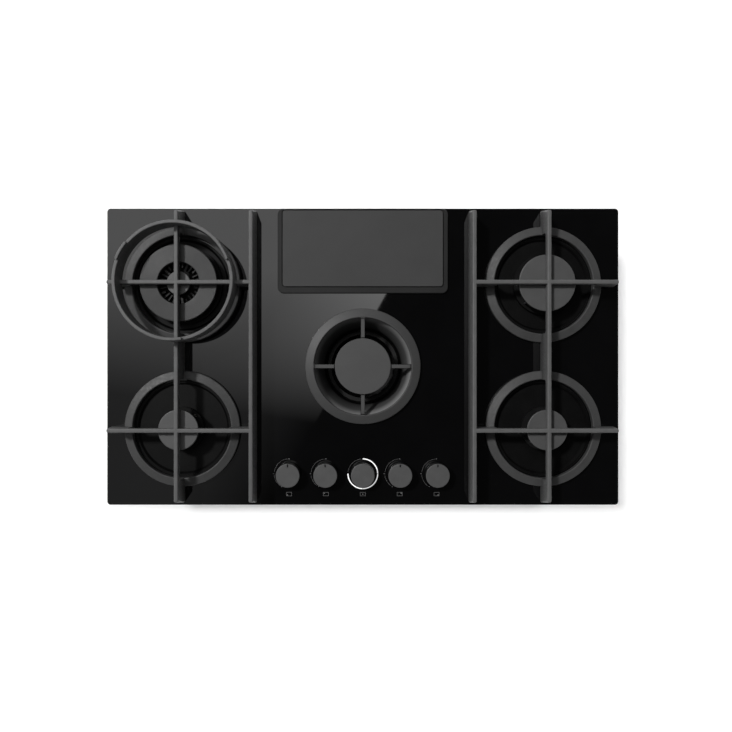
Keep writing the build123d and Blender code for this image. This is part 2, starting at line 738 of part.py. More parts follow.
def burner_cap(place, radius, hole, thickness, lip_radius):
    """Makes a flat cap with softened edges and a locating lip under it."""
    with BuildPart() as cap:
        ring_block(burner_plane(place, CAP_TOP - CAP_THICKNESS), radius, hole, thickness)
        fillet(cap.edges().group_by(Axis.Z)[-1], CAP_ROUND)
        lip_plane = burner_plane(place, CAP_TOP - CAP_THICKNESS - CAP_LIP_HEIGHT)
        ring_block(lip_plane, lip_radius, lip_radius - CAP_LIP_WIDTH, CAP_LIP_HEIGHT)
    return cap


for place in burner_places:
    lip = crown_radius(place) - CROWN_WALL - HEAD_CLEARANCE
    cap_hole = WOK_CAP_HOLE if place == "rear_left" else 0
    save(burner_crown(place), f"{place}_burner_crown")
    save(burner_cap(place, CAP_RADII[place], cap_hole, CAP_THICKNESS, lip), f"{place}_burner_cap")

inner_lip = INNER_CAP_RADIUS - CAP_LIP_WIDTH - INNER_CROWN_WALL - HEAD_CLEARANCE
inner_cap = burner_cap("rear_left", INNER_CAP_RADIUS, 0, INNER_CAP_THICKNESS, inner_lip)
save(inner_cap, "wok_inner_cap")


# === Extractor inlet: funnel, grille and grease filter ========================================
INLET_SECTION = Plane((0, INLET_Y, 0), x_dir=(1, 0, 0), z_dir=(0, -1, 0))
INLET_AXIS = Axis((0, INLET_Y, 0), (0, 0, 1))


def inlet_plane(height):
    """Level plane at a height above the origin, centred on the inlet."""
    return Plane((0, INLET_Y, height))


with BuildPart() as intake_funnel:
    slope_bottom = glass_top - FUNNEL_SLOPE_DEPTH
    with BuildSketch(INLET_SECTION):
        with BuildLine():
            Polyline(
                (FUNNEL_TOP_RADIUS, glass_top + SHEET),
                (FUNNEL_THROAT, slope_bottom),
                (FUNNEL_THROAT, filter_seat),
                (FUNNEL_THROAT - FUNNEL_LIP, filter_seat),
                (FUNNEL_THROAT - FUNNEL_LIP, funnel_bottom),
                (funnel_outer, funnel_bottom),
                (funnel_outer, slope_bottom),
                (FUNNEL_TOP_RADIUS + SHEET, glass_top),
                (FUNNEL_FLANGE, glass_top),
                (FUNNEL_FLANGE, glass_top + SHEET),
                close=True,
            )
        make_face()
    revolve(axis=INLET_AXIS)
save(intake_funnel, "intake_funnel")

grille_bottom = glass_top + SHEET
grille_top = glass_top + GRILLE_TOP
spoke_bottom = grille_top - GRILLE_SPOKE_DEPTH

with BuildPart() as grille_disc:
    ring_block(inlet_plane(spoke_bottom), GRILLE_DISC_RADIUS, 0, GRILLE_SPOKE_DEPTH)
    fillet(grille_disc.edges().group_by(Axis.Z)[-1], GRILLE_ROUND / 2)

with BuildPart() as inlet_grille:
    with BuildSketch(INLET_SECTION):
        with BuildLine():
            Polyline(
                (GRILLE_INNER, grille_bottom),
                (GRILLE_OUTER, grille_bottom),
                (GRILLE_OUTER, grille_top - GRILLE_FALL),
                (GRILLE_INNER, grille_top),
                close=True,
            )
        make_face()
    revolve(axis=INLET_AXIS)
    fillet(inlet_grille.edges().filter_by(GeomType.CIRCLE).sort_by(Axis.Z)[-2:], GRILLE_ROUND)
    spoke_span = 2 * (GRILLE_INNER + GRILLE_SPOKE_OVERLAP)
    with BuildSketch(inlet_plane(spoke_bottom)):
        Rectangle(spoke_span, GRILLE_SPOKE_WIDTH)
        Rectangle(GRILLE_SPOKE_WIDTH, spoke_span)
    extrude(amount=GRILLE_SPOKE_DEPTH - GRILLE_ROUND / 2)
    add(grille_disc.part)
save(inlet_grille, "inlet_grille")

filter_outer = FUNNEL_THROAT - FUNNEL_LIP - FILTER_RIM_CLEARANCE
filter_bottom = filter_seat + FILTER_RIM_THICKNESS - FILTER_LENGTH
window_bottom = filter_bottom + FILTER_CUP_DEPTH
window_top = funnel_bottom - FILTER_WINDOW_MARGIN
with BuildPart() as grease_filter:
    filter_inner = filter_outer - FILTER_WALL
    rim_outer = FUNNEL_THROAT - FILTER_RIM_CLEARANCE
    ring_block(inlet_plane(filter_seat), rim_outer, filter_inner, FILTER_RIM_THICKNESS)
    ring_block(inlet_plane(filter_bottom), filter_outer, filter_inner, FILTER_LENGTH - FILTER_RIM_THICKNESS)
    ring_block(inlet_plane(filter_bottom), filter_outer, 0, FILTER_WALL)
    with BuildSketch(inlet_plane(window_bottom)):
        with PolarLocations(filter_outer - FILTER_WALL / 2, FILTER_WINDOWS):
            Rectangle(2 * FILTER_WINDOW_REACH, FILTER_WINDOW_WIDTH)
    extrude(amount=window_top - window_bottom, mode=Mode.SUBTRACT)
save(grease_filter, "grease_filter")


# === Lid over the odour filters, with its frame ===============================================
lid_front = frame_front + FRAME_FRONT_BAR
lid_rear = frame_rear - FRAME_REAR_BAR
lid_width = FRAME_WIDTH - 2 * FRAME_SIDE
shaft_middle = (shaft_front + shaft_rear) / 2
shaft_depth = shaft_rear - shaft_front

with BuildPart() as filter_lid_frame:
    with BuildSketch(Plane.XY.offset(glass_top)):
        lid_rectangle(FRAME_WIDTH, frame_front, frame_rear, FRAME_CORNER)
    extrude(amount=FRAME_HEIGHT)
    chamfer(filter_lid_frame.faces().sort_by(Axis.Z)[-1].outer_wire().edges(), LID_ROUND)
    with BuildSketch(Plane.XY.offset(glass_top + FRAME_LEDGE)):
        lid_rectangle(lid_width, lid_front, lid_rear, LID_CORNER + LID_GAP)
    extrude(amount=FRAME_HEIGHT, mode=Mode.SUBTRACT)
    with BuildSketch(Plane.XY.offset(HOUSING_HEIGHT)):
        with Locations((0, shaft_middle)):
            Rectangle(SHAFT_WIDTH + 2 * SHAFT_WALL, shaft_depth + 2 * SHAFT_WALL)
    extrude(amount=glass_top - HOUSING_HEIGHT)
    with BuildSketch(Plane.XY.offset(HOUSING_HEIGHT)):
        with Locations((0, shaft_middle)):
            Rectangle(SHAFT_WIDTH, shaft_depth)
    extrude(amount=glass_top + FRAME_HEIGHT - HOUSING_HEIGHT, mode=Mode.SUBTRACT)
save(filter_lid_frame, "filter_lid_frame")

with BuildPart() as filter_lid:
    with BuildSketch(Plane.XY.offset(glass_top + FRAME_LEDGE)):
        lid_rectangle(lid_width - 2 * LID_GAP, lid_front + LID_GAP, lid_rear - LID_GAP, LID_CORNER)
    extrude(amount=FRAME_HEIGHT - FRAME_LEDGE)
    fillet(filter_lid.edges().group_by(Axis.Z)[-1], LID_ROUND)
save(filter_lid, "filter_lid")


# === Extractor housing ========================================================================
compartment_half = COMPARTMENT_WIDTH / 2
channel_front = fan_y + SCROLL_START
channel_rear = fan_y + SCROLL_END
channel_middle = (channel_front + channel_rear) / 2
channel_clear = SCROLL_HEIGHT - 2 * SCROLL_WALL
duct_plane = Plane((0, housing_rear, DUCT_CENTRE_HEIGHT), x_dir=(-1, 0, 0), z_dir=(0, 1, 0))
housing_x = (-HOUSING_WIDTH / 2, HOUSING_WIDTH / 2)
between_sides_x = (SHEET - HOUSING_WIDTH / 2, HOUSING_WIDTH / 2 - SHEET)
housing_y = (HOUSING_FRONT, housing_rear)
compartment_y = (compartment_front + SHEET, housing_rear - SHEET)
wall_z = (SHEET, HOUSING_HEIGHT)


def sheet_panel(x_range, y_range, z_range):
    """Builds one flat piece of sheet that fills the three ranges."""
    with BuildPart() as panel:
        with BuildSketch(Plane.XY.offset(z_range[0])) as section:
            with Locations((sum(x_range) / 2, sum(y_range) / 2)):
                Rectangle(x_range[1] - x_range[0], y_range[1] - y_range[0])
        extrude(section.sketch, amount=z_range[1] - z_range[0])
    return panel.part


def flange_strip(x_range, y_range):
    """Builds one strip of the flange, with the screw holes that fall on it."""
    with BuildPart() as strip:
        add(sheet_panel(x_range, y_range, (HOUSING_HEIGHT - SHEET, HOUSING_HEIGHT)))
        with BuildSketch(Plane.XY.offset(HOUSING_HEIGHT)) as screw_holes:
            with Locations(*FLANGE_SCREWS):
                Circle(SCREW_RADIUS + SCREW_HOLE_GAP)
        extrude(screw_holes.sketch, amount=-SHEET, mode=Mode.SUBTRACT)
    return strip.part


with BuildPart() as housing_rear_wall:
    add(sheet_panel(between_sides_x, (housing_rear - SHEET, housing_rear), wall_z))
    with BuildSketch(duct_plane):
        Rectangle(DUCT_WIDTH - 2 * DUCT_WALL, DUCT_HEIGHT - 2 * DUCT_WALL)
        with Locations((-GLAND_X, GLAND_HEIGHT - DUCT_CENTRE_HEIGHT)):
            Circle(GLAND_RADIUS + SCREW_HOLE_GAP)
    extrude(amount=-SHEET, mode=Mode.SUBTRACT)

with BuildPart() as compartment_channel_wall:
    add(sheet_panel((compartment_half - SHEET, compartment_half), compartment_y, wall_z))
    with BuildSketch(Plane.YZ.offset(compartment_half - SHEET)):
        with Locations((channel_middle, fan_floor + SCROLL_HEIGHT / 2)):
            Rectangle(channel_rear - channel_front - 2 * SCROLL_WALL, channel_clear)
    extrude(amount=SHEET, mode=Mode.SUBTRACT)

left_flange_x = (housing_x[0] - HOUSING_FLANGE, housing_x[0])
right_flange_x = (housing_x[1], housing_x[1] + HOUSING_FLANGE)
flange_y = (HOUSING_FRONT - HOUSING_FLANGE, housing_rear + HOUSING_FLANGE)
extractor_housing = Compound(
    [
        sheet_panel(housing_x, housing_y, (0, SHEET)),
        sheet_panel((housing_x[0], between_sides_x[0]), housing_y, wall_z),
        sheet_panel((between_sides_x[1], housing_x[1]), housing_y, wall_z),
        sheet_panel(between_sides_x, (HOUSING_FRONT, HOUSING_FRONT + SHEET), wall_z),
        housing_rear_wall.part,
        sheet_panel((-compartment_half, compartment_half), (compartment_front, compartment_y[0]), wall_z),
        sheet_panel((-compartment_half, SHEET - compartment_half), compartment_y, wall_z),
        compartment_channel_wall.part,
        flange_strip(left_flange_x, flange_y),
        flange_strip(right_flange_x, flange_y),
        flange_strip(housing_x, (flange_y[0], HOUSING_FRONT)),
        flange_strip(housing_x, (housing_rear, flange_y[1])),
    ]
)
save_shape(extractor_housing, "extractor_housing")

with BuildPart() as duct_collar:
    with BuildSketch(duct_plane):
        Rectangle(DUCT_WIDTH + 2 * DUCT_FLANGE, DUCT_HEIGHT + 2 * DUCT_FLANGE)
    extrude(amount=DUCT_WALL)
    with BuildSketch(duct_plane):
        Rectangle(DUCT_WIDTH, DUCT_HEIGHT)
    extrude(amount=DUCT_LENGTH)
    with BuildSketch(duct_plane):
        Rectangle(DUCT_WIDTH - 2 * DUCT_WALL, DUCT_HEIGHT - 2 * DUCT_WALL)
    extrude(amount=DUCT_LENGTH, mode=Mode.SUBTRACT)
save(duct_collar, "duct_collar")

with BuildPart() as mains_gland:
    gland_plane = Plane((GLAND_X, housing_rear, GLAND_HEIGHT), x_dir=(-1, 0, 0), z_dir=(0, 1, 0))
    with BuildSketch(gland_plane):
        Circle(GLAND_HEAD_RADIUS)
    extrude(amount=GLAND_HEAD)
    with BuildSketch(gland_plane):
        Circle(GLAND_RADIUS)
    extrude(amount=-(GLAND_LENGTH - GLAND_HEAD))
    with BuildSketch(gland_plane.offset(GLAND_HEAD)):
        Circle(GLAND_BORE)
    extrude(amount=-GLAND_LENGTH, mode=Mode.SUBTRACT)
save(mains_gland, "mains_gland")


# === Fan: scroll, motor and impeller ==========================================================
def scroll_outline(inset, overrun):
    """Draws the scroll's plan: a spiral that widens round the fan and ends in a straight channel."""
    turns = range(int(SCROLL_TONGUE), 361, int(SCROLL_STEP))
    spiral_points = []
    for turn in turns:
        radius = SCROLL_START + (SCROLL_END - SCROLL_START) * turn / 360 - inset
        heading = math.radians(90 + turn)
        spiral_points.append((FAN_X + radius * math.cos(heading), fan_y + radius * math.sin(heading)))
    outlet_x = compartment_half - overrun
    with BuildLine() as outline:
        spiral = Spline(*spiral_points)
        Polyline(
            spiral @ 1,
            (outlet_x, channel_rear - inset),
            (outlet_x, channel_front + inset),
            spiral @ 0,
        )
    make_face(outline.edges())


def fan_plane(height):
    """Level plane at a height above the origin, centred on the fan."""
    return Plane((FAN_X, fan_y, height))


with BuildPart() as scroll_housing:
    with BuildSketch(Plane.XY.offset(fan_floor)):
        scroll_outline(0, 0)
    extrude(amount=SCROLL_HEIGHT)
    with BuildSketch(Plane.XY.offset(fan_floor + SCROLL_WALL)):
        scroll_outline(SCROLL_WALL, SCROLL_WALL)
    extrude(amount=channel_clear, mode=Mode.SUBTRACT)
    drill(fan_plane(fan_floor + SCROLL_HEIGHT), SCROLL_EYE, -SCROLL_WALL)
save(scroll_housing, "scroll_housing")

motor_bottom = fan_floor + SCROLL_WALL
motor_top = motor_bottom + MOTOR_HEIGHT
with BuildPart() as fan_motor:
    ring_block(fan_plane(motor_bottom), MOTOR_RADIUS, 0, MOTOR_HEIGHT)
    fillet(fan_motor.edges().group_by(Axis.Z)[-1], EDGE_ROUND)
    drill(fan_plane(motor_top), MOTOR_SHAFT_RADIUS + RUNNING_CLEARANCE, -(MOTOR_SHAFT_DEPTH + HUB_GAP))
save(fan_motor, "fan_motor")

with BuildPart() as impeller:
    hub_outer = MOTOR_RADIUS + HUB_GAP + IMPELLER_PLATE
    hub_top = motor_top + HUB_GAP
    blade_ring = IMPELLER_RADIUS - IMPELLER_BLADE_WIDTH
    ring_block(fan_plane(IMPELLER_BOTTOM), IMPELLER_RADIUS, hub_outer - IMPELLER_PLATE, IMPELLER_PLATE)
    ring_block(fan_plane(IMPELLER_BOTTOM), hub_outer, hub_outer - IMPELLER_PLATE, hub_top - IMPELLER_BOTTOM)
    ring_block(fan_plane(hub_top), hub_outer, 0, IMPELLER_PLATE)
    shaft_length = HUB_GAP + MOTOR_SHAFT_DEPTH
    ring_block(fan_plane(hub_top - shaft_length), MOTOR_SHAFT_RADIUS, 0, shaft_length)
    top_ring = IMPELLER_BOTTOM + IMPELLER_HEIGHT - IMPELLER_PLATE
    ring_block(fan_plane(top_ring), IMPELLER_RADIUS, blade_ring, IMPELLER_PLATE)
    with BuildSketch(fan_plane(IMPELLER_BOTTOM)):
        with PolarLocations((IMPELLER_RADIUS + blade_ring) / 2, IMPELLER_BLADES):
            Rectangle(IMPELLER_BLADE_WIDTH, IMPELLER_BLADE_THICKNESS, rotation=IMPELLER_BLADE_TILT)
    extrude(amount=IMPELLER_HEIGHT)
save(impeller, "impeller")


# === Odour filters: two cassettes that slide down through the lid's shaft =====================
filter_front = housing_rear - SHEET - ODOUR_FILTER_SETBACK - ODOUR_FILTER_DEPTH
filter_spacing = ODOUR_FILTER_WIDTH + ODOUR_FILTER_GAP
filter_middle_y = filter_front + ODOUR_FILTER_DEPTH / 2
cell_columns = int((ODOUR_FILTER_WIDTH - ODOUR_CELL) / ODOUR_CELL_PITCH)
cell_rows = int((ODOUR_FILTER_HEIGHT - ODOUR_CELL) / ODOUR_CELL_PITCH)
cassette_plane = Plane.XZ.offset(-filter_front)

with BuildPart() as odour_filters:
    for middle_x in (-filter_spacing / 2, filter_spacing / 2):
        with BuildSketch(Plane((middle_x, filter_middle_y, fan_floor))):
            Rectangle(ODOUR_FILTER_WIDTH, ODOUR_FILTER_DEPTH)
        extrude(amount=ODOUR_FILTER_HEIGHT)
        with BuildSketch(cassette_plane):
            with Locations((middle_x, fan_floor + ODOUR_FILTER_HEIGHT / 2)):
                with GridLocations(ODOUR_CELL_PITCH, ODOUR_CELL_PITCH, cell_columns, cell_rows):
                    Rectangle(ODOUR_CELL, ODOUR_CELL)
        extrude(amount=-ODOUR_CELL_DEPTH, mode=Mode.SUBTRACT)
        with BuildSketch(Plane.XZ.offset(-filter_middle_y)):
            with Locations((middle_x, fan_floor + ODOUR_FILTER_HEIGHT + ODOUR_HANDLE_HEIGHT / 2)):
                Rectangle(ODOUR_HANDLE_LENGTH, ODOUR_HANDLE_HEIGHT)
            gap_width = ODOUR_HANDLE_LENGTH - 2 * ODOUR_HANDLE_BAR
            gap_height = ODOUR_HANDLE_HEIGHT - ODOUR_HANDLE_BAR
            with Locations((middle_x, fan_floor + ODOUR_FILTER_HEIGHT + gap_height / 2)):
                Rectangle(gap_width, gap_height, mode=Mode.SUBTRACT)
        extrude(amount=ODOUR_HANDLE_WIDTH / 2, both=True)
save(odour_filters, "odour_filters")


# === Knobs, spindles and taps =================================================================
def spindle_section(fit):
    """Draws the D-shaped section of a spindle, grown by a fit."""
    Circle(SPINDLE_RADIUS + fit)
    with Locations((0, -2 * SPINDLE_RADIUS + SPINDLE_FLAT - fit)):
        Rectangle(4 * SPINDLE_RADIUS, 2 * SPINDLE_RADIUS, mode=Mode.SUBTRACT)


def knob_plane(x, height):
    """Level plane at a height above the glass, centred on one knob."""
    return Plane((x, knob_y, glass_top + height))


def knob(x, pointer):
    """Makes a hollow round knob with a hub, and a pointer notch where asked for."""
    with BuildPart() as body:
        ring_block(knob_plane(x, KNOB_LIFT), KNOB_RADIUS, KNOB_CAVITY, KNOB_CAVITY_TOP - KNOB_LIFT)
        ring_block(knob_plane(x, KNOB_CAVITY_TOP), KNOB_RADIUS, 0, KNOB_TOP - KNOB_CAVITY_TOP)
        ring_block(knob_plane(x, KNOB_HUB_LIFT), KNOB_HUB_RADIUS, 0, KNOB_CAVITY_TOP - KNOB_HUB_LIFT)
        fillet(body.edges().group_by(Axis.Z)[-1], KNOB_ROUND)
        with BuildSketch(knob_plane(x, KNOB_HUB_LIFT)):
            spindle_section(SPINDLE_FIT)
        extrude(amount=SPINDLE_TOP + SPINDLE_FIT - KNOB_HUB_LIFT, mode=Mode.SUBTRACT)
        if pointer:
            with BuildSketch(knob_plane(x, KNOB_TOP - POINTER_DEPTH)):
                with Locations((0, KNOB_RADIUS - POINTER_LENGTH / 2)):
                    Rectangle(POINTER_WIDTH, POINTER_LENGTH)
            extrude(amount=POINTER_DEPTH, mode=Mode.SUBTRACT)
    return body


def spindle(x, bottom):
    """Makes a round spindle with a flat where the knob grips it."""
    with BuildPart() as rod:
        ring_block(Plane((x, knob_y, bottom)), SPINDLE_RADIUS, 0, glass_top + KNOB_HUB_LIFT - bottom)
        with BuildSketch(knob_plane(x, KNOB_HUB_LIFT)):
            spindle_section(0)
        extrude(amount=SPINDLE_TOP - KNOB_HUB_LIFT)
    return rod


def plunger(x):
    """Makes the pin under a spindle that opens the tap's safety valve."""
    with BuildPart() as pin:
        plunger_plane = Plane((x, knob_y, spindle_bottom - PLUNGER_LENGTH))
        ring_block(plunger_plane, PLUNGER_RADIUS, 0, PLUNGER_LENGTH)
    return pin


for place, x in knob_places.items():
    save(knob(x, True), f"{place}_knob")
    save(spindle(x, spindle_bottom), f"{place}_spindle")
    save(plunger(x), f"{place}_tap_plunger")
save(knob(0, False), "fan_knob")
save(spindle(0, spindle_bottom), "fan_spindle")

with BuildPart() as knob_seals:
    for x, _ in EVERY_KNOB:
        ring_block(knob_plane(x, 0), KNOB_SEAL_RADIUS, SPINDLE_RADIUS + KNOB_SEAL_GAP, KNOB_SEAL_HEIGHT)
save(knob_seals, "knob_seals")

tap_top = box_floor + TAP_HEIGHT
upper_bore_floor = tap_top - TAP_BORE_DEPTH


def tap_bore(x):
    """Cuts the stepped bore for one spindle and its plunger."""
    bore_plane = Plane((x, knob_y, upper_bore_floor))
    drill(bore_plane, SPINDLE_RADIUS + RUNNING_CLEARANCE, TAP_BORE_DEPTH)
    drill(bore_plane, PLUNGER_RADIUS + RUNNING_CLEARANCE, -TAP_LOWER_BORE_DEPTH)


with BuildPart() as tap_bodies:
    for x in knob_places.values():
        with BuildSketch(Plane((x, knob_y, box_floor))):
            Rectangle(TAP_WIDTH, 2 * TAP_REACH)
        extrude(amount=TAP_HEIGHT)
    chamfer(tap_bodies.edges().group_by(Axis.Z)[-1], TAP_CHAMFER)
    for x in knob_places.values():
        tap_bore(x)
save(tap_bodies, "tap_bodies")

with BuildPart() as fan_encoder:
    with BuildSketch(Plane((0, knob_y, box_floor))):
        Rectangle(ENCODER_SIZE, ENCODER_SIZE)
    extrude(amount=ENCODER_HEIGHT)
    bush_plane = Plane((0, knob_y, box_floor + ENCODER_HEIGHT))
    ring_block(bush_plane, KNOB_SEAL_RADIUS, 0, TAP_HEIGHT - ENCODER_HEIGHT)
    bore_plane = Plane((0, knob_y, spindle_bottom - STANDOFF))
    drill(bore_plane, SPINDLE_RADIUS + RUNNING_CLEARANCE, TAP_HEIGHT)
save(fan_encoder, "fan_encoder")


# === Gas rail, inlet and pipes ================================================================
rail_level = box_floor + RAIL_HEIGHT
rail_front_y = knob_y - TAP_REACH - RAIL_SIZE / 2

with BuildPart() as gas_rail:
    with BuildLine() as rail_path:
        FilletPolyline(
            (min(knob_places.values()) - RAIL_LEFT_OVERHANG, rail_front_y, rail_level),
            (rail_right_x, rail_front_y, rail_level),
            (rail_right_x, rail_rear_y - INLET_BLOCK / 2, rail_level),
            radius=RAIL_BEND,
        )
    with BuildSketch(Plane(rail_path.line @ 0, z_dir=rail_path.line % 0)):
        Rectangle(RAIL_SIZE, RAIL_SIZE)
        Circle(RAIL_SIZE / 2 - RAIL_WALL, mode=Mode.SUBTRACT)
    sweep(path=rail_path.line)
save(gas_rail, "gas_rail")

with BuildPart() as gas_inlet_elbow:
    block_bottom = rail_level - RAIL_SIZE / 2
    nut_top = HOUSING_HEIGHT - INLET_NUT_DROP
    thread_bottom = nut_top - INLET_NUT_HEIGHT - INLET_THREAD_LENGTH
    inlet_spot = (rail_right_x, rail_rear_y)
    with BuildSketch(Plane((*inlet_spot, block_bottom))):
        Rectangle(INLET_BLOCK, INLET_BLOCK)
    extrude(amount=RAIL_SIZE)
    ring_block(Plane((*inlet_spot, nut_top)), INLET_NECK_RADIUS, 0, block_bottom - nut_top)
    with BuildSketch(Plane((*inlet_spot, nut_top - INLET_NUT_HEIGHT))):
        RegularPolygon(INLET_NUT_ACROSS / 2, 6, major_radius=False)
    extrude(amount=INLET_NUT_HEIGHT)
    ring_block(Plane((*inlet_spot, thread_bottom)), INLET_THREAD_RADIUS, 0, INLET_THREAD_LENGTH)
    drill(Plane((*inlet_spot, thread_bottom)), INLET_BORE, rail_level - thread_bottom)
save(gas_inlet_elbow, "gas_inlet_elbow")


def pipe(points):
    """Makes one bent gas pipe along the given corners."""
    with BuildPart() as tube:
        with BuildLine() as route:
            FilletPolyline(*[(x, y, pipe_level) for x, y in points], radius=PIPE_BEND)
        with BuildSketch(Plane(route.line @ 0, z_dir=route.line % 0)):
            Circle(PIPE_RADIUS)
            Circle(PIPE_BORE, mode=Mode.SUBTRACT)
        sweep(path=route.line)
    return tube.part


tap_outlet_y = knob_y + TAP_REACH
pipe_end_x = burner_x - CUP_BOSS_RADIUS - CUP_NIPPLE_LENGTH
PIPES = []
for side in (-1, 1):
    front_tap_x = side * 2 * KNOB_PITCH
    rear_tap_x = side * KNOB_PITCH
    front_route = [(front_tap_x, tap_outlet_y), (front_tap_x, -burner_y), (side * pipe_end_x, -burner_y)]
    rear_route = [
        (rear_tap_x, tap_outlet_y),
        (rear_tap_x, rear_pipe_y),
        (side * REAR_PIPE_X, rear_pipe_y),
        (side * REAR_PIPE_X, burner_y),
        (side * pipe_end_x, burner_y),
    ]
    PIPES += [pipe(front_route), pipe(rear_route)]

with BuildPart() as burner_pipes:
    for tube in PIPES:
        add(tube)
save(burner_pipes, "burner_pipes")


# === Electrics, clamp brackets and screws =====================================================
def module(x, y, width, depth, height, bottom):
    """Makes a plain case with softened upright edges."""
    with BuildPart() as case:
        with BuildSketch(Plane((x, y, bottom))):
            RectangleRounded(width, depth, EDGE_ROUND)
        extrude(amount=height)
    return case


control_box = module(CONTROL_X, CONTROL_Y, CONTROL_WIDTH, CONTROL_DEPTH, CONTROL_HEIGHT, fan_floor)
save(control_box, "control_box")
ignition_module = module(IGNITION_X, ignition_y, IGNITION_WIDTH, IGNITION_DEPTH, IGNITION_HEIGHT, box_floor)
save(ignition_module, "ignition_module")

bracket_bottom = HOUSING_HEIGHT - BRACKET_DROP
bracket_wall = box_width / 2
with BuildPart() as clamp_brackets:
    for side, y in BRACKET_PLACES:
        with BuildSketch(Plane((side * (bracket_wall + BRACKET_SHEET / 2), y, bracket_bottom))):
            Rectangle(BRACKET_SHEET, BRACKET_WIDTH)
        extrude(amount=BRACKET_HEIGHT)
        with BuildSketch(Plane((side * (bracket_wall + BRACKET_LEG / 2), y, bracket_bottom))):
            Rectangle(BRACKET_LEG, BRACKET_WIDTH)
            with Locations((side * (BRACKET_LEG / 2 - CLAMP_HOLE_INSET), 0)):
                Circle(CLAMP_HOLE_RADIUS, mode=Mode.SUBTRACT)
        extrude(amount=BRACKET_SHEET)
        screw_level = HOUSING_HEIGHT + BRACKET_SCREW_HEIGHT
        screw_plane = Plane((0, y, screw_level), x_dir=(0, 1, 0), z_dir=(side, 0, 0))
        with BuildSketch(screw_plane.offset(bracket_wall)):
            Circle(SCREW_RADIUS + SCREW_HOLE_GAP)
        extrude(amount=BRACKET_SHEET, mode=Mode.SUBTRACT)
save(clamp_brackets, "clamp_brackets")


def screw(plane):
    """Adds a pan head screw: its head stands on the plane and its shank goes down behind it."""
    ring_block(plane, SCREW_HEAD_RADIUS, 0, SCREW_HEAD_HEIGHT)
    ring_block(plane, SCREW_RADIUS, 0, -SCREW_LENGTH)


with BuildPart() as case_screws:
    for x, y in FLANGE_SCREWS:
        screw(Plane((x, y, HOUSING_HEIGHT - SHEET), z_dir=(0, 0, -1)))
    for side, y in BRACKET_PLACES:
        head_x = side * (bracket_wall + BRACKET_SHEET)
        screw(Plane((head_x, y, HOUSING_HEIGHT + BRACKET_SCREW_HEIGHT), z_dir=(side, 0, 0)))
save(case_screws, "case_screws")
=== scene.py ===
import json
import math

import bmesh
import bpy
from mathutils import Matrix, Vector


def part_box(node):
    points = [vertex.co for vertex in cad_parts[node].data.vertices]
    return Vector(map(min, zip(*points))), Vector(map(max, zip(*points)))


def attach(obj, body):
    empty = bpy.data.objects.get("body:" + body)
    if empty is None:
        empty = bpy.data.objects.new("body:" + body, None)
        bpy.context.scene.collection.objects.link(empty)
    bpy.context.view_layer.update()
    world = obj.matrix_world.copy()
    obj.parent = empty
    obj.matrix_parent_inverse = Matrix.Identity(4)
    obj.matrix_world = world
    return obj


# A built-in gas cooktop with a downdraft extractor in its middle, seen from straight above.
# Metres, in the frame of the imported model: X to the right, Y to the rear and Z up.

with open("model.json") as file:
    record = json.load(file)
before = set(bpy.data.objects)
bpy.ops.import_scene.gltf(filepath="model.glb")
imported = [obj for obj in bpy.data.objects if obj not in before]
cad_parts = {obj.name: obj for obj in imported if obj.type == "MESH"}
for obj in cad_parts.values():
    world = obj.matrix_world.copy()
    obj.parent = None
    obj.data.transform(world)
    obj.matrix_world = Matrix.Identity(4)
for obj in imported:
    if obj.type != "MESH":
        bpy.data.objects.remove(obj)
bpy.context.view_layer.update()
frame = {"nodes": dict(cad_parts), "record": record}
nodes = frame["nodes"]
slot_of = {part["node"]: part["material_slot"] for part in frame["record"]["subparts"]}

glass_low, glass_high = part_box("glass_panel")
GLASS_TOP = glass_high.z
KNOBS = ("front_left", "rear_left", "rear_right", "front_right")
PRINT_THICKNESS = 0.00006
# Share of the cast iron's colour left at its lowest, as painted shade.
LOW_IRON_PAINTED_SHADE = 0.48
FUNNEL_SHADE_RADIUS = 0.0675
FUNNEL_RIM_RADIUS = 0.084
LIGHT_RING_WIDTH = 0.002
LIGHT_RING_STRENGTH = 0.8
# Heights above the glass between which the painted shade on the cast iron fades from its darkest to
# none.
IRON_SHADE_FROM = 0.014
IRON_SHADE_TO = 0.036
GRILLE_SHADE_REACH = 0.1


def middle(node):
    """Centre of a node's box at rest."""
    low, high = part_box(node)
    return (low + high) / 2


def foot_box(node, height=0.01):
    """Box of a node whose sides come from the points near its lowest level."""
    low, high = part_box(node)
    piece = nodes[node]
    points = [piece.matrix_world @ vertex.co for vertex in piece.data.vertices]
    foot = [point for point in points if point.z < low.z + height]
    across = [point.x for point in foot]
    along = [point.y for point in foot]
    return Vector((min(across), min(along), low.z)), Vector((max(across), max(along), high.z))


# --- Camera ---------------------------------------------------------------------------------
CAMERA_HEIGHT = 1.2
CAMERA_X = 0.0055
CAMERA_Y = -0.016
FIELD_OF_VIEW = math.radians(55.4)


def make_camera():
    camera = bpy.data.objects.new("camera", bpy.data.cameras.new("camera"))
    camera.data.sensor_width = 36.0
    camera.data.sensor_fit = "HORIZONTAL"
    camera.data.angle = FIELD_OF_VIEW
    camera.data.clip_start = 0.01
    camera.data.clip_end = 50.0
    camera.location = (CAMERA_X, CAMERA_Y, GLASS_TOP + CAMERA_HEIGHT)
    bpy.context.scene.collection.objects.link(camera)
    bpy.context.scene.camera = camera


# --- Node helpers -----------------------------------------------------------------------------
def link(tree, source, target):
    tree.links.new(source, target)


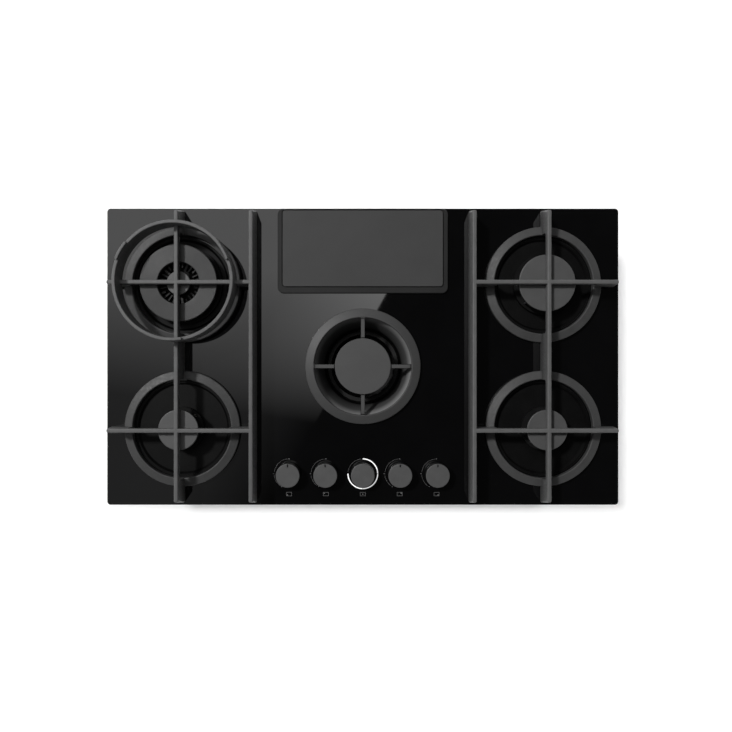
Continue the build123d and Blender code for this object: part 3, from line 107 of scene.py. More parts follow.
def object_noise(tree, size, detail=3.0, roughness=0.5, stretch=(1.0, 1.0, 1.0)):
    """Noise whose features are about size metres across, fixed to the object."""
    coordinates = tree.nodes.new("ShaderNodeTexCoord")
    mapping = tree.nodes.new("ShaderNodeMapping")
    mapping.inputs["Scale"].default_value = stretch
    noise = tree.nodes.new("ShaderNodeTexNoise")
    noise.inputs["Scale"].default_value = 1.0 / size
    noise.inputs["Detail"].default_value = detail
    noise.inputs["Roughness"].default_value = roughness
    link(tree, coordinates.outputs["Object"], mapping.inputs["Vector"])
    link(tree, mapping.outputs["Vector"], noise.inputs["Vector"])
    return noise.outputs["Fac"]


def mapped(tree, value, low, high, from_low=0.3, from_high=0.7):
    """Maps from_low to from_high onto low to high, and holds the ends outside that span."""
    node = tree.nodes.new("ShaderNodeMapRange")
    node.inputs["From Min"].default_value = from_low
    node.inputs["From Max"].default_value = from_high
    node.inputs["To Min"].default_value = low
    node.inputs["To Max"].default_value = high
    link(tree, value, node.inputs["Value"])
    return node.outputs["Result"]


def ramp(tree, value, stops):
    """Colour ramp of (position, colour) stops."""
    node = tree.nodes.new("ShaderNodeValToRGB")
    elements = node.color_ramp.elements
    while len(elements) < len(stops):
        elements.new(0.5)
    for element, (position, colour) in zip(elements, stops):
        element.position = position
        element.color = (*colour, 1.0)
    link(tree, value, node.inputs["Fac"])
    return node.outputs["Color"]


def bump(tree, shader, height, distance, normal=None):
    """Raises the surface by a height map of 0 to 1 times a distance in metres."""
    node = tree.nodes.new("ShaderNodeBump")
    node.inputs["Distance"].default_value = distance
    link(tree, height, node.inputs["Height"])
    if normal is not None:
        link(tree, normal, node.inputs["Normal"])
    link(tree, node.outputs["Normal"], shader.inputs["Normal"])
    return node.outputs["Normal"]


def painted_facing_shade(tree, top_colour, skirt_shade):
    """Painted shade: one colour on faces that look up and a darker one on the skirt below them."""
    surface = tree.nodes.new("ShaderNodeNewGeometry")
    split = tree.nodes.new("ShaderNodeSeparateXYZ")
    link(tree, surface.outputs["Normal"], split.inputs["Vector"])
    facing_up = mapped(tree, split.outputs["Z"], 0.0, 1.0, 0.4, 0.8)
    mix = tree.nodes.new("ShaderNodeMix")
    mix.data_type = "RGBA"
    link(tree, facing_up, mix.inputs["Factor"])
    mix.inputs["A"].default_value = (*skirt_shade, 1.0)
    link(tree, top_colour, mix.inputs["B"])
    return mix.outputs["Result"]


def blended(tree, first, second, blend):
    """Two colours combined in full by a blend mode."""
    both = tree.nodes.new("ShaderNodeMix")
    both.data_type = "RGBA"
    both.blend_type = blend
    both.inputs["Factor"].default_value = 1.0
    link(tree, first, both.inputs["A"])
    link(tree, second, both.inputs["B"])
    return both.outputs["Result"]


def multiplied(tree, first, second):
    return blended(tree, first, second, "MULTIPLY")


def grey(level, tint=0.0):
    """A neutral colour. A tint above 0 adds that share of blue."""
    return (level, level, level * (1.0 + tint))


def seen_directly(tree):
    """1 for rays from the camera, off a mirror or through clear glass, and 0 for the rest."""
    path = tree.nodes.new("ShaderNodeLightPath")
    seen = path.outputs["Is Camera Ray"]
    for kind in ("Is Glossy Ray", "Is Transmission Ray"):
        either = tree.nodes.new("ShaderNodeMath")
        either.operation = "MAXIMUM"
        link(tree, seen, either.inputs[0])
        link(tree, path.outputs[kind], either.inputs[1])
        seen = either.outputs[0]
    return seen


def new_material(name, metallic=0.0, ior=1.5, coat=0.0, coat_roughness=0.1, specular=0.5):
    material = bpy.data.materials.new(name)
    material.use_nodes = True
    shader = material.node_tree.nodes["Principled BSDF"]
    shader.inputs["Metallic"].default_value = metallic
    shader.inputs["IOR"].default_value = ior
    shader.inputs["Coat Weight"].default_value = coat
    shader.inputs["Coat Roughness"].default_value = coat_roughness
    shader.inputs["Specular IOR Level"].default_value = specular
    return material, material.node_tree, shader


def mottled(
    name,
    dark,
    light,
    patch,
    roughness,
    grain,
    depth,
    metallic=0.0,
    specular=0.5,
    coat=0.0,
    stretch=(1.0, 1.0, 1.0),
    skirt_shade=None,
):
    """A surface with soft colour patches, uneven gloss and a fine grain."""
    material, tree, shader = new_material(name, metallic=metallic, specular=specular, coat=coat)
    patches = object_noise(tree, patch, detail=4.0)
    colour = ramp(tree, patches, [(0.3, dark), (0.7, light)])
    # Painted shade: if given, a darker colour on the faces below the top.
    if skirt_shade is not None:
        colour = painted_facing_shade(tree, colour, skirt_shade)
    link(tree, colour, shader.inputs["Base Color"])
    fine = object_noise(tree, grain, detail=2.0, stretch=stretch)
    link(tree, mapped(tree, fine, *roughness), shader.inputs["Roughness"])
    bump(tree, shader, fine, depth)
    return material


# --- Materials --------------------------------------------------------------------------------
def glass_material():
    material, tree, shader = new_material("glass_black", ior=1.5)
    smudge = object_noise(tree, 0.09, detail=5.0, roughness=0.6)
    link(
        tree,
        ramp(tree, smudge, [(0.35, grey(0.0012, 0.1)), (0.7, grey(0.0018, 0.1))]),
        shader.inputs["Base Color"],
    )
    link(tree, mapped(tree, smudge, 0.02, 0.045), shader.inputs["Roughness"])
    return material


def cast_iron_material(name, dark, light):
    """Matte enamel over a sand-cast surface, with painted shade that darkens it low down."""
    material, tree, shader = new_material(name, specular=0.25)
    patches = object_noise(tree, 0.018, detail=5.0)
    colour = ramp(tree, patches, [(0.3, dark), (0.7, light)])
    coordinates = tree.nodes.new("ShaderNodeTexCoord")
    split = tree.nodes.new("ShaderNodeSeparateXYZ")
    link(tree, coordinates.outputs["Object"], split.inputs["Vector"])
    # Painted shade: the iron is darkened low down, towards the glass.
    low, high = GLASS_TOP + IRON_SHADE_FROM, GLASS_TOP + IRON_SHADE_TO
    height = mapped(tree, split.outputs["Z"], 0.0, 1.0, low, high)
    shade = ramp(tree, height, [(0.0, grey(LOW_IRON_PAINTED_SHADE)), (1.0, grey(1.0))])
    link(tree, multiplied(tree, colour, shade), shader.inputs["Base Color"])
    grain = object_noise(tree, 0.0011, detail=3.0)
    pits = object_noise(tree, 0.004, detail=2.0)
    link(tree, mapped(tree, pits, 0.42, 0.58), shader.inputs["Roughness"])
    rough_normal = bump(tree, shader, grain, 0.00016)
    bump(tree, shader, pits, 0.00025, rough_normal)
    return material


def turned_material(name, dark, light, skirt_shade, roughness, specular, centre, depth=0.00002):
    """Fine rings about an upright axis, as a lathe leaves them, and painted shade on the skirt."""
    material, tree, shader = new_material(name, specular=specular)
    coordinates = tree.nodes.new("ShaderNodeTexCoord")
    shift = tree.nodes.new("ShaderNodeMapping")
    shift.inputs["Location"].default_value = (-centre[0], -centre[1], 0.0)
    link(tree, coordinates.outputs["Object"], shift.inputs["Vector"])
    rings = tree.nodes.new("ShaderNodeTexWave")
    rings.wave_type = "RINGS"
    rings.rings_direction = "Z"
    rings.inputs["Scale"].default_value = 900.0
    rings.inputs["Distortion"].default_value = 1.5
    rings.inputs["Detail"].default_value = 2.0
    link(tree, shift.outputs["Vector"], rings.inputs["Vector"])
    patches = object_noise(tree, 0.012)
    top_colour = ramp(tree, patches, [(0.3, dark), (0.7, light)])
    # Painted shade: faces below the top get the darker skirt colour.
    link(tree, painted_facing_shade(tree, top_colour, skirt_shade), shader.inputs["Base Color"])
    link(tree, mapped(tree, rings.outputs["Fac"], *roughness, 0.0, 1.0), shader.inputs["Roughness"])
    bump(tree, shader, rings.outputs["Fac"], depth)
    return material


def spangled_material():
    """Hot-dip zinc on sheet, with its large crystals."""
    material, tree, shader = new_material("housing_steel", metallic=0.85)
    coordinates = tree.nodes.new("ShaderNodeTexCoord")
    crystals = tree.nodes.new("ShaderNodeTexVoronoi")
    crystals.inputs["Scale"].default_value = 90.0
    crystals.inputs["Randomness"].default_value = 1.0
    link(tree, coordinates.outputs["Object"], crystals.inputs["Vector"])
    separate = tree.nodes.new("ShaderNodeSeparateColor")
    link(tree, crystals.outputs["Color"], separate.inputs["Color"])
    tone = separate.outputs["Red"]
    link(
        tree,
        ramp(tree, tone, [(0.0, (0.42, 0.44, 0.46)), (1.0, (0.62, 0.63, 0.64))]),
        shader.inputs["Base Color"],
    )
    link(tree, mapped(tree, tone, 0.32, 0.5, 0.0, 1.0), shader.inputs["Roughness"])
    bump(tree, shader, object_noise(tree, 0.0025), 0.00003)
    return material


def reach_from_axis(tree, centre):
    """Distance of a surface point from an upright axis through a centre."""
    coordinates = tree.nodes.new("ShaderNodeTexCoord")
    shift = tree.nodes.new("ShaderNodeVectorMath")
    shift.operation = "SUBTRACT"
    shift.inputs[1].default_value = (centre.x, centre.y, 0.0)
    flat = tree.nodes.new("ShaderNodeVectorMath")
    flat.operation = "MULTIPLY"
    flat.inputs[1].default_value = (1.0, 1.0, 0.0)
    reach = tree.nodes.new("ShaderNodeVectorMath")
    reach.operation = "LENGTH"
    link(tree, coordinates.outputs["Object"], shift.inputs[0])
    link(tree, shift.outputs["Vector"], flat.inputs[0])
    link(tree, flat.outputs["Vector"], reach.inputs[0])
    return reach.outputs["Value"]


def funnel_material():
    """Satin enamel on the funnel's mouth, lighter towards the rim, with painted shade that darkens it
    inwards to black in its throat.
    """
    material, tree, shader = new_material("funnel_steel", specular=0.04)
    reach = reach_from_axis(tree, middle("inlet_grille"))
    place = mapped(tree, reach, 0.0, 1.0, FUNNEL_SHADE_RADIUS, FUNNEL_RIM_RADIUS)
    # Painted shade: the colour falls from the rim to near black towards the throat.
    colour = ramp(
        tree,
        place,
        [(0.0, grey(0.002)), (0.06, grey(0.018)), (0.55, grey(0.045)), (1.0, grey(0.2))],
    )
    link(tree, colour, shader.inputs["Base Color"])
    fine = object_noise(tree, 0.001)
    link(tree, mapped(tree, fine, 0.42, 0.54), shader.inputs["Roughness"])
    bump(tree, shader, fine, 0.00002)
    return material


def grille_material():
    """Satin metal, lighter on the disc in the middle than on the ring round it."""
    material, tree, shader = new_material("inlet_metal", specular=0.25)
    reach = reach_from_axis(tree, middle("inlet_grille"))
    place = mapped(tree, reach, 0.0, 1.0, 0.0, GRILLE_SHADE_REACH)
    patches = object_noise(tree, 0.03, detail=4.0)
    colour = ramp(tree, patches, [(0.3, grey(0.05)), (0.7, grey(0.055))])
    shade = ramp(tree, place, [(0.75, grey(0.95)), (0.82, grey(0.72)), (1.0, grey(0.66))])
    link(tree, multiplied(tree, colour, shade), shader.inputs["Base Color"])
    fine = object_noise(tree, 0.0008, detail=2.0)
    link(tree, mapped(tree, fine, 0.42, 0.5), shader.inputs["Roughness"])
    bump(tree, shader, fine, 0.00003)
    return material


def wok_cap_material():
    """Darker turned cap of the large burner."""
    centre = middle("rear_left_burner_cap")
    return turned_material(
        "cap_enamel_wok", grey(0.021), grey(0.026), grey(0.02), (0.42, 0.5), 0.25, centre
    )


def lit_material(name, strength):
    """A backlit ring that glows most along its middle line."""
    material, tree, shader = new_material(name)
    ring_low, ring_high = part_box("light_ring")
    centre = middle("light_ring")
    outer = (ring_high.x - ring_low.x) / 2
    reach = reach_from_axis(tree, centre)
    place = mapped(tree, reach, 0.0, 1.0, outer - LIGHT_RING_WIDTH, outer)
    glow = ramp(
        tree, place, [(0.0, grey(0.1)), (0.35, grey(1.0)), (0.65, grey(1.0)), (1.0, grey(0.1))]
    )
    cloud = object_noise(tree, 0.006)
    body = ramp(tree, cloud, [(0.3, grey(0.5)), (0.7, grey(0.6))])
    link(tree, body, shader.inputs["Base Color"])
    link(tree, glow, shader.inputs["Emission Color"])
    shader.inputs["Emission Strength"].default_value = strength
    return material


def make_materials():
    """One material for each slot that nodes share."""
    return {
        "glass_black": glass_material(),
        "cast_iron": cast_iron_material("cast_iron", grey(0.076), grey(0.092)),
        "cap_enamel": mottled(
            "cap_enamel",
            grey(0.05),
            grey(0.057),
            0.02,
            (0.42, 0.52),
            0.0012,
            0.00005,
            specular=0.35,
            # painted shade on the caps' sides below their tops
            skirt_shade=grey(0.006),
        ),
        "crown_alloy": mottled(
            "crown_alloy", grey(0.003), grey(0.006), 0.012, (0.5, 0.65), 0.0014, 0.0001, specular=0.06
        ),
        "bowl_enamel": mottled(
            "bowl_enamel", grey(0.0015), grey(0.003), 0.03, (0.4, 0.5), 0.003, 0.00002, specular=0.08
        ),
        "cup_alloy": mottled(
            "cup_alloy", grey(0.003), grey(0.006), 0.02, (0.5, 0.65), 0.0015, 0.0001, specular=0.06
        ),
        "inlet_metal": grille_material(),
        "funnel_steel": funnel_material(),
        "filter_steel": mottled(
            "filter_steel", grey(0.004), grey(0.007), 0.01, (0.5, 0.6), 0.001, 0.00003, specular=0.2
        ),
        "lid_metal": mottled(
            "lid_metal", grey(0.042), grey(0.046), 0.05, (0.46, 0.54), 0.0008, 0.00003, specular=0.1
        ),
        "knob_seal_rubber": mottled(
            "knob_seal_rubber", grey(0.015), grey(0.022), 0.004, (0.7, 0.8), 0.0006, 0.00005
        ),
        "pad_rubber": mottled(
            "pad_rubber", grey(0.018), grey(0.026), 0.004, (0.7, 0.85), 0.0006, 0.00005
        ),
        "seal_foam": mottled(
            "seal_foam", grey(0.03), grey(0.055), 0.0025, (0.85, 0.95), 0.0012, 0.0003
        ),
        "box_steel": mottled(
            "box_steel", grey(0.026), grey(0.034), 0.04, (0.42, 0.55), 0.0012, 0.00006
        ),
        "housing_steel": spangled_material(),
        "fan_plastic": mottled(
            "fan_plastic", grey(0.022), grey(0.03), 0.02, (0.45, 0.55), 0.0007, 0.00006
        ),
        "motor_metal": mottled(
            "motor_metal", grey(0.4), grey(0.5), 0.01, (0.4, 0.5), 0.001, 0.00008, metallic=0.9
        ),
        "carbon_block": mottled(
            "carbon_block", grey(0.012), grey(0.03), 0.003, (0.75, 0.9), 0.0016, 0.0004
        ),
        "brass": mottled(
            "brass",
            (0.55, 0.38, 0.13),
            (0.68, 0.49, 0.2),
            0.01,
            (0.28, 0.4),
            0.0012,
            0.00003,
            metallic=1.0,
        ),
        "steel_bright": mottled(
            "steel_bright",
            grey(0.5, 0.02),
            grey(0.6, 0.02),
            0.01,
            (0.25, 0.35),
            0.0008,
            0.00002,
            metallic=1.0,
        ),
        "rail_aluminium": mottled(
            "rail_aluminium",
            grey(0.68, 0.02),
            grey(0.78, 0.02),
            0.02,
            (0.28, 0.38),
            0.001,
            0.00002,
            metallic=1.0,
        ),
        "electrode_ceramic": mottled(
            "electrode_ceramic",
            (0.06, 0.057, 0.05),
            (0.09, 0.086, 0.08),
            0.004,
            (0.3, 0.4),
            0.001,
            0.00002,
        ),
        "box_plastic": mottled(
            "box_plastic", grey(0.06), grey(0.075), 0.02, (0.45, 0.55), 0.0007, 0.00006
        ),
        "screw_zinc": mottled(
            "screw_zinc",
            (0.5, 0.5, 0.46),
            (0.62, 0.62, 0.6),
            0.003,
            (0.3, 0.42),
            0.0006,
            0.00002,
            metallic=1.0,
        ),
        "light_guide": lit_material("light_guide", LIGHT_RING_STRENGTH),
    }


def knob_materials():
    """Each knob's rings run about its own spindle."""
    found = {}
    for node, slot in slot_of.items():
        if slot == "knob_metal":
            centre = middle(node)
            # Painted shade: each knob's side gets a near-black colour below its top.
            found[node] = turned_material(
                "knob_metal_" + node, grey(0.058), grey(0.064), grey(0.003), (0.4, 0.5), 0.3, centre
            )
    return found


def dress_nodes():
    """Gives every carried-over node its material."""
    materials = make_materials()
    own = knob_materials()
    own["rear_left_burner_cap"] = wok_cap_material()
    own["filter_lid_frame"] = mottled(
        "lid_frame_metal", grey(0.014), grey(0.017), 0.05, (0.46, 0.54), 0.0008, 0.00003, specular=0.1
    )
    for name, piece in nodes.items():
        material = own.get(name) or materials[slot_of[name]]
        piece.data.materials.clear()
        piece.data.materials.append(material)
    return materials


# --- Meshes -----------------------------------------------------------------------------------
def make_piece(name, outlines, low, high, material, body):
    """Closed flat plates between two levels, one for each outline, as one piece on a body."""
    shape = bmesh.new()
    for outline in outlines:
        bottom = [shape.verts.new((x, y, low)) for x, y in outline]
        top = [shape.verts.new((x, y, high)) for x, y in outline]
        shape.faces.new(reversed(bottom))
        shape.faces.new(top)
        for index in range(len(outline)):
            after = (index + 1) % len(outline)
            shape.faces.new((bottom[index], bottom[after], top[after], top[index]))
    bmesh.ops.recalc_face_normals(shape, faces=shape.faces)
    mesh = bpy.data.meshes.new(name)
    shape.to_mesh(mesh)
    shape.free()
    piece = bpy.data.objects.new(name, mesh)
    bpy.context.scene.collection.objects.link(piece)
    mesh.materials.append(material)
    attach(piece, body)
    return piece


def arc_outline(centre, radius, width, start, end, steps=72):
    """Outline of a flat arc. Angles are in degrees, counter-clockwise from the right."""
    inner = radius - width / 2
    outer = radius + width / 2
    angles = [math.radians(start + (end - start) * step / steps) for step in range(steps + 1)]
    x, y = centre[0], centre[1]
    there = [(x + outer * math.cos(a), y + outer * math.sin(a)) for a in angles]
    back = [(x + inner * math.cos(a), y + inner * math.sin(a)) for a in reversed(angles)]
    return there + back


def disc_outline(centre, radius, steps=24):
    angles = [2 * math.pi * step / steps for step in range(steps)]
    return [(centre[0] + radius * math.cos(a), centre[1] + radius * math.sin(a)) for a in angles]


def box_outline(centre, width, depth):
    x, y = centre[0], centre[1]
    return [
        (x - width / 2, y - depth / 2),
        (x + width / 2, y - depth / 2),
        (x + width / 2, y + depth / 2),
        (x - width / 2, y + depth / 2),
    ]


SPOKE_START = 0.0480
SPOKE_END = 0.0828
# Length of the painted shade line at each end of a spoke and width of the one along each edge.
SPOKE_TIP_SHADE = 0.0014
SPOKE_EDGE_SHADE = 0.0008
SPOKE_WIDTH = 0.0075
SPOKE_DROP = 0.00075
TEETH_INNER = 0.0235
TEETH_OUTER = 0.0353
TEETH_WIDTH = 0.0022
TEETH_COUNT = 26
TEETH_DROP = 0.007
TEETH_HEIGHT = 0.009
SHORT_TOOTH_CUT = 0.004
WIDE_TOOTH = 1.6


def teeth_material():
    return mottled(
        "flame_teeth", grey(0.006), grey(0.04), 0.003, (0.45, 0.6), 0.0014, 0.0001, specular=0.1
    )


# --- Printed marks on the glass -----------------------------------------------------------------
DIAL_RADIUS = 0.0256
DIAL_LINE = 0.0003
ICON_Y = -0.2365
ICON_WIDTH = 0.0088
ICON_DEPTH = 0.0060
ICON_LINE = 0.0004
ICON_DOT = 0.0009
# How far a burner's dot lies from the icon's middle, as a share of its width and depth.
ICON_ACROSS = 0.3
ICON_UP = 0.25
# Angles in degrees, counter-clockwise from the right, of the arc's two parts and its ends.
DIAL_UPPER_ARC = (96, 174)
DIAL_LOWER_ARC = (186, 232)
DIAL_OFF = 90
DIAL_HIGH = 180
DIAL_LOW = 240
DIAL_OFF_DOT = 0.0008
DIAL_LOW_DOT = 0.0006
DIAL_TICK_LENGTH = 0.0022
DIAL_TICK_WIDTH = 0.0008
FAN_TICK_WIDTH = 0.0009
FAN_TICK_REACH = 0.7
POINTER_INSET = 0.0012
POINTER_LENGTH = 0.0044
POINTER_WIDTH = 0.0021


def print_material():
    return mottled("print_grey", grey(0.12), grey(0.15), 0.004, (0.4, 0.5), 0.001, 0.00001)


# Black print, also used for the painted shade lines on the grille spokes.
def ink_and_shade_material():
    return mottled(
        "print_and_shade_black", grey(0.002), grey(0.003), 0.004, (0.5, 0.6), 0.001, 0.00001, specular=0.05
    )


def spoke_outline(centre, inner, outer, degrees, width):
    """Outline of a straight bar that points away from a centre."""
    angle = math.radians(degrees)
    out = Vector((math.cos(angle), math.sin(angle)))
    side = Vector((-out.y, out.x)) * width / 2
    middle_point = Vector((centre[0], centre[1]))
    near, far = middle_point + out * inner, middle_point + out * outer
    return [tuple(near - side), tuple(far - side), tuple(far + side), tuple(near + side)]


def frame_outlines(centre, width, depth, line):
    """Four bars round a rectangle."""
    x, y = centre
    return [
        box_outline((x, y + depth / 2), width + line, line),
        box_outline((x, y - depth / 2), width + line, line),
        box_outline((x - width / 2, y), line, depth - line),
        box_outline((x + width / 2, y), line, depth - line),
    ]


def on_dial(centre, radius, degrees):
    angle = math.radians(degrees)
    return (centre[0] + radius * math.cos(angle), centre[1] + radius * math.sin(angle))


def make_dial_prints(material):
    """A thin arc round each gas knob, from twelve o'clock over the left to the lower left."""
    top = GLASS_TOP + PRINT_THICKNESS
    for place in KNOBS:
        centre = middle(place + "_knob")
        tick_end = DIAL_RADIUS + DIAL_TICK_LENGTH
        outlines = [
            arc_outline(centre, DIAL_RADIUS, DIAL_LINE, *DIAL_UPPER_ARC),
            arc_outline(centre, DIAL_RADIUS, DIAL_LINE, *DIAL_LOWER_ARC),
            disc_outline(on_dial(centre, DIAL_RADIUS, DIAL_OFF), DIAL_OFF_DOT),
            spoke_outline(centre, DIAL_RADIUS, tick_end, DIAL_HIGH, DIAL_TICK_WIDTH),
            disc_outline(on_dial(centre, DIAL_RADIUS, DIAL_LOW), DIAL_LOW_DOT),
        ]
        make_piece("dial_print_" + place, outlines, GLASS_TOP, top, material, "cooktop")


def make_fan_dial(material, ink_and_shade):
    """A faint line on the unlit quarter of the fan knob's ring and two ticks across its lit part."""
    top = GLASS_TOP + PRINT_THICKNESS
    centre = middle("fan_knob")
    faint = [arc_outline(centre, DIAL_RADIUS, DIAL_LINE, *DIAL_UPPER_ARC)]
    make_piece("dial_print_fan", faint, GLASS_TOP, top, material, "cooktop")
    reach = LIGHT_RING_WIDTH * FAN_TICK_REACH
    ticks = [
        spoke_outline(centre, DIAL_RADIUS - reach, DIAL_RADIUS + reach, degrees, FAN_TICK_WIDTH)
        for degrees in (0, 270)
    ]
    make_piece("dial_ticks_fan", ticks, GLASS_TOP, top, ink_and_shade, "cooktop")


def make_icons(material):
    """Under each knob a small plan of the cooktop with a dot at the place the knob serves."""
    top = GLASS_TOP + PRINT_THICKNESS
    spots = {
        "front_left": (-ICON_ACROSS, -ICON_UP),
        "rear_left": (-ICON_ACROSS, ICON_UP),
        "rear_right": (ICON_ACROSS, ICON_UP),
        "front_right": (ICON_ACROSS, -ICON_UP),
        "fan": (0.0, 0.0),
    }
    for place, (across, up) in spots.items():
        knob = "fan_knob" if place == "fan" else place + "_knob"
        centre = (middle(knob).x, ICON_Y)
        outlines = frame_outlines(centre, ICON_WIDTH, ICON_DEPTH, ICON_LINE)
        spot = (centre[0] + across * ICON_WIDTH, centre[1] + up * ICON_DEPTH)
        outlines.append(disc_outline(spot, ICON_DOT))
        make_piece("icon_print_" + place, outlines, GLASS_TOP, top, material, "cooktop")


def make_pointers(ink_and_shade):
    """A short dark mark on the rim of each gas knob, at twelve o'clock when it is off."""
    for place in KNOBS:
        low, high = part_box(place + "_knob")
        centre = (low + high) / 2
        tip = (high.x - low.x) / 2 - POINTER_INSET
        mark = [spoke_outline(centre, tip - POINTER_LENGTH, tip, DIAL_OFF, POINTER_WIDTH)]
        top = high.z + PRINT_THICKNESS
        make_piece("pointer_" + place, mark, high.z, top, ink_and_shade, place + "_knob")


def make_spoke_shade_lines(ink_and_shade):
    """Painted shade: dark lines across both ends of each grille spoke and along its edges."""
    low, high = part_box("inlet_grille")
    centre = (low + high) / 2
    level = high.z - SPOKE_DROP
    ends = ((SPOKE_START, SPOKE_START + SPOKE_TIP_SHADE), (SPOKE_END - SPOKE_TIP_SHADE, SPOKE_END))
    outlines = []
    for degrees in (0, 90, 180, 270):
        for inner, outer in ends:
            outlines.append(spoke_outline(centre, inner, outer, degrees, SPOKE_WIDTH))
        angle = math.radians(degrees + 90)
        side = Vector((math.cos(angle), math.sin(angle), 0.0)) * (SPOKE_WIDTH - SPOKE_EDGE_SHADE) / 2
        for sign in (-1, 1):
            start = SPOKE_START + SPOKE_TIP_SHADE
            end = SPOKE_END - SPOKE_TIP_SHADE
            outlines.append(spoke_outline(centre + side * sign, start, end, degrees, SPOKE_EDGE_SHADE))
    top = level + PRINT_THICKNESS
    make_piece("grille_shade_lines", outlines, level, top, ink_and_shade, "grille")


def make_inner_teeth(material):
    """Short teeth inside the large burner's inner flame ring."""
    low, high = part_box("rear_left_burner_crown")
    centre = (low + high) / 2
    outlines = []
    for index in range(TEETH_COUNT):
        # Every third tooth is shorter and every fifth is wider.
        inner = TEETH_INNER + (SHORT_TOOTH_CUT if index % 3 == 0 else 0.0)
        width = TEETH_WIDTH * (WIDE_TOOTH if index % 5 == 0 else 1.0)
        outlines.append(spoke_outline(centre, inner, TEETH_OUTER, 360 * index / TEETH_COUNT, width))
    top = high.z - TEETH_DROP
    make_piece(
        "inner_flame_teeth",
        outlines,
        top - TEETH_HEIGHT,
        top,
        material,
        "rear_left_crown",
    )


# --- Sheet-metal details on the housing ------------------------------------------------------------
TAB_WIDTH = 0.016
TAB_THICKNESS = 0.0008
TAB_MARGIN = 0.006
RIVET_RADIUS = 0.0024
RIVET_HEIGHT = 0.0012
RIVET_SIDES = 16
# Rivet levels from the tab's bottom, the wall's middle and the tab's top.
RIVET_ABOVE_FOOT = 0.012
RIVET_BELOW_MIDDLE = 0.004
RIVET_BELOW_TOP = 0.02
TAB_CORNER_GAP = 0.001
WALL_RIVETS = 5
WALL_RIVET_MARGIN = 0.04


def make_mesh_piece(name, vertices, faces, material, body, smooth=False):
    mesh = bpy.data.meshes.new(name)
    mesh.from_pydata(vertices, [], faces)
    mesh.update()
    shape = bmesh.new()
    shape.from_mesh(mesh)
    bmesh.ops.recalc_face_normals(shape, faces=shape.faces)
    shape.to_mesh(mesh)
    shape.free()
    for face in mesh.polygons:
        face.use_smooth = smooth
    piece = bpy.data.objects.new(name, mesh)
    bpy.context.scene.collection.objects.link(piece)
    mesh.materials.append(material)
    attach(piece, body)
    return piece


def plate_between(vertices, faces, low, high):
    """Adds a closed box between two corners."""
    first = len(vertices)
    for x in (low[0], high[0]):
        for y in (low[1], high[1]):
            for z in (low[2], high[2]):
                vertices.append((x, y, z))
    for quad in ((0, 1, 3, 2), (4, 6, 7, 5), (0, 4, 5, 1), (2, 3, 7, 6), (0, 2, 6, 4), (1, 5, 7, 3)):
        faces.append(tuple(first + index for index in quad))


def add_rivet(vertices, faces, foot, out):
    """Adds a closed domed rivet head that stands on a wall and looks along out."""
    foot = Vector(foot)
    out = Vector(out)
    up = Vector((0.0, 0.0, 1.0))
    side = out.cross(up)
    first = len(vertices)
    rings = ((1.0, 0.0), (0.92, 0.45), (0.6, 0.85))
    for reach, rise in rings:
        for step in range(RIVET_SIDES):
            angle = 2 * math.pi * step / RIVET_SIDES
            flat = side * math.cos(angle) + up * math.sin(angle)
            vertices.append(tuple(foot + flat * RIVET_RADIUS * reach + out * RIVET_HEIGHT * rise))
    vertices.append(tuple(foot + out * RIVET_HEIGHT))
    for ring in range(len(rings) - 1):
        for step in range(RIVET_SIDES):
            after = (step + 1) % RIVET_SIDES
            low, high = first + ring * RIVET_SIDES, first + (ring + 1) * RIVET_SIDES
            faces.append((low + step, low + after, high + after, high + step))
    crown = first + (len(rings) - 1) * RIVET_SIDES
    tip = first + len(rings) * RIVET_SIDES
    for step in range(RIVET_SIDES):
        faces.append((crown + step, crown + (step + 1) % RIVET_SIDES, tip))
    faces.append(tuple(first + step for step in range(RIVET_SIDES)))


def make_housing_details(sheet, rivet_material):
    """Folded corner tabs with three rivets each and two rows of rivets along the front wall."""
    low, high = foot_box("extractor_housing")
    tabs, tab_faces = [], []
    rivets, rivet_faces = [], []
    bottom, top = low.z + TAB_MARGIN, high.z - TAB_MARGIN
    halfway = (low.z + high.z) / 2
    levels = [bottom + RIVET_ABOVE_FOOT, halfway - RIVET_BELOW_MIDDLE, top - RIVET_BELOW_TOP]
    for x, out in ((low.x, -1), (high.x, 1)):
        face = x + out * TAB_THICKNESS
        for y, inward in ((low.y, 1), (high.y, -1)):
            near, far = sorted((y + inward * TAB_CORNER_GAP, y + inward * TAB_WIDTH))
            west, east = sorted((x, face))
            plate_between(tabs, tab_faces, (west, near, bottom), (east, far, top))
            for level in levels:
                spot = (face, (near + far) / 2, level)
                add_rivet(rivets, rivet_faces, spot, (out, 0, 0))
    spacing = (high.x - low.x - 2 * WALL_RIVET_MARGIN) / (WALL_RIVETS - 1)
    for step in range(WALL_RIVETS):
        across = low.x + WALL_RIVET_MARGIN + step * spacing
        for level in (levels[0], levels[2]):
            add_rivet(rivets, rivet_faces, (across, low.y, level), (0, -1, 0))
    make_mesh_piece("housing_corner_tabs", tabs, tab_faces, sheet, "cooktop")
    make_mesh_piece(
        "housing_rivets", rivets, rivet_faces, rivet_material, "cooktop", smooth=True
    )


make_camera()
materials = dress_nodes()
make_housing_details(materials["housing_steel"], materials["screw_zinc"])
marks = print_material()
make_dial_prints(marks)
ink_and_shade = ink_and_shade_material()
make_spoke_shade_lines(ink_and_shade)
make_fan_dial(marks, ink_and_shade)
make_icons(marks)
make_pointers(ink_and_shade)
make_inner_teeth(teeth_material())


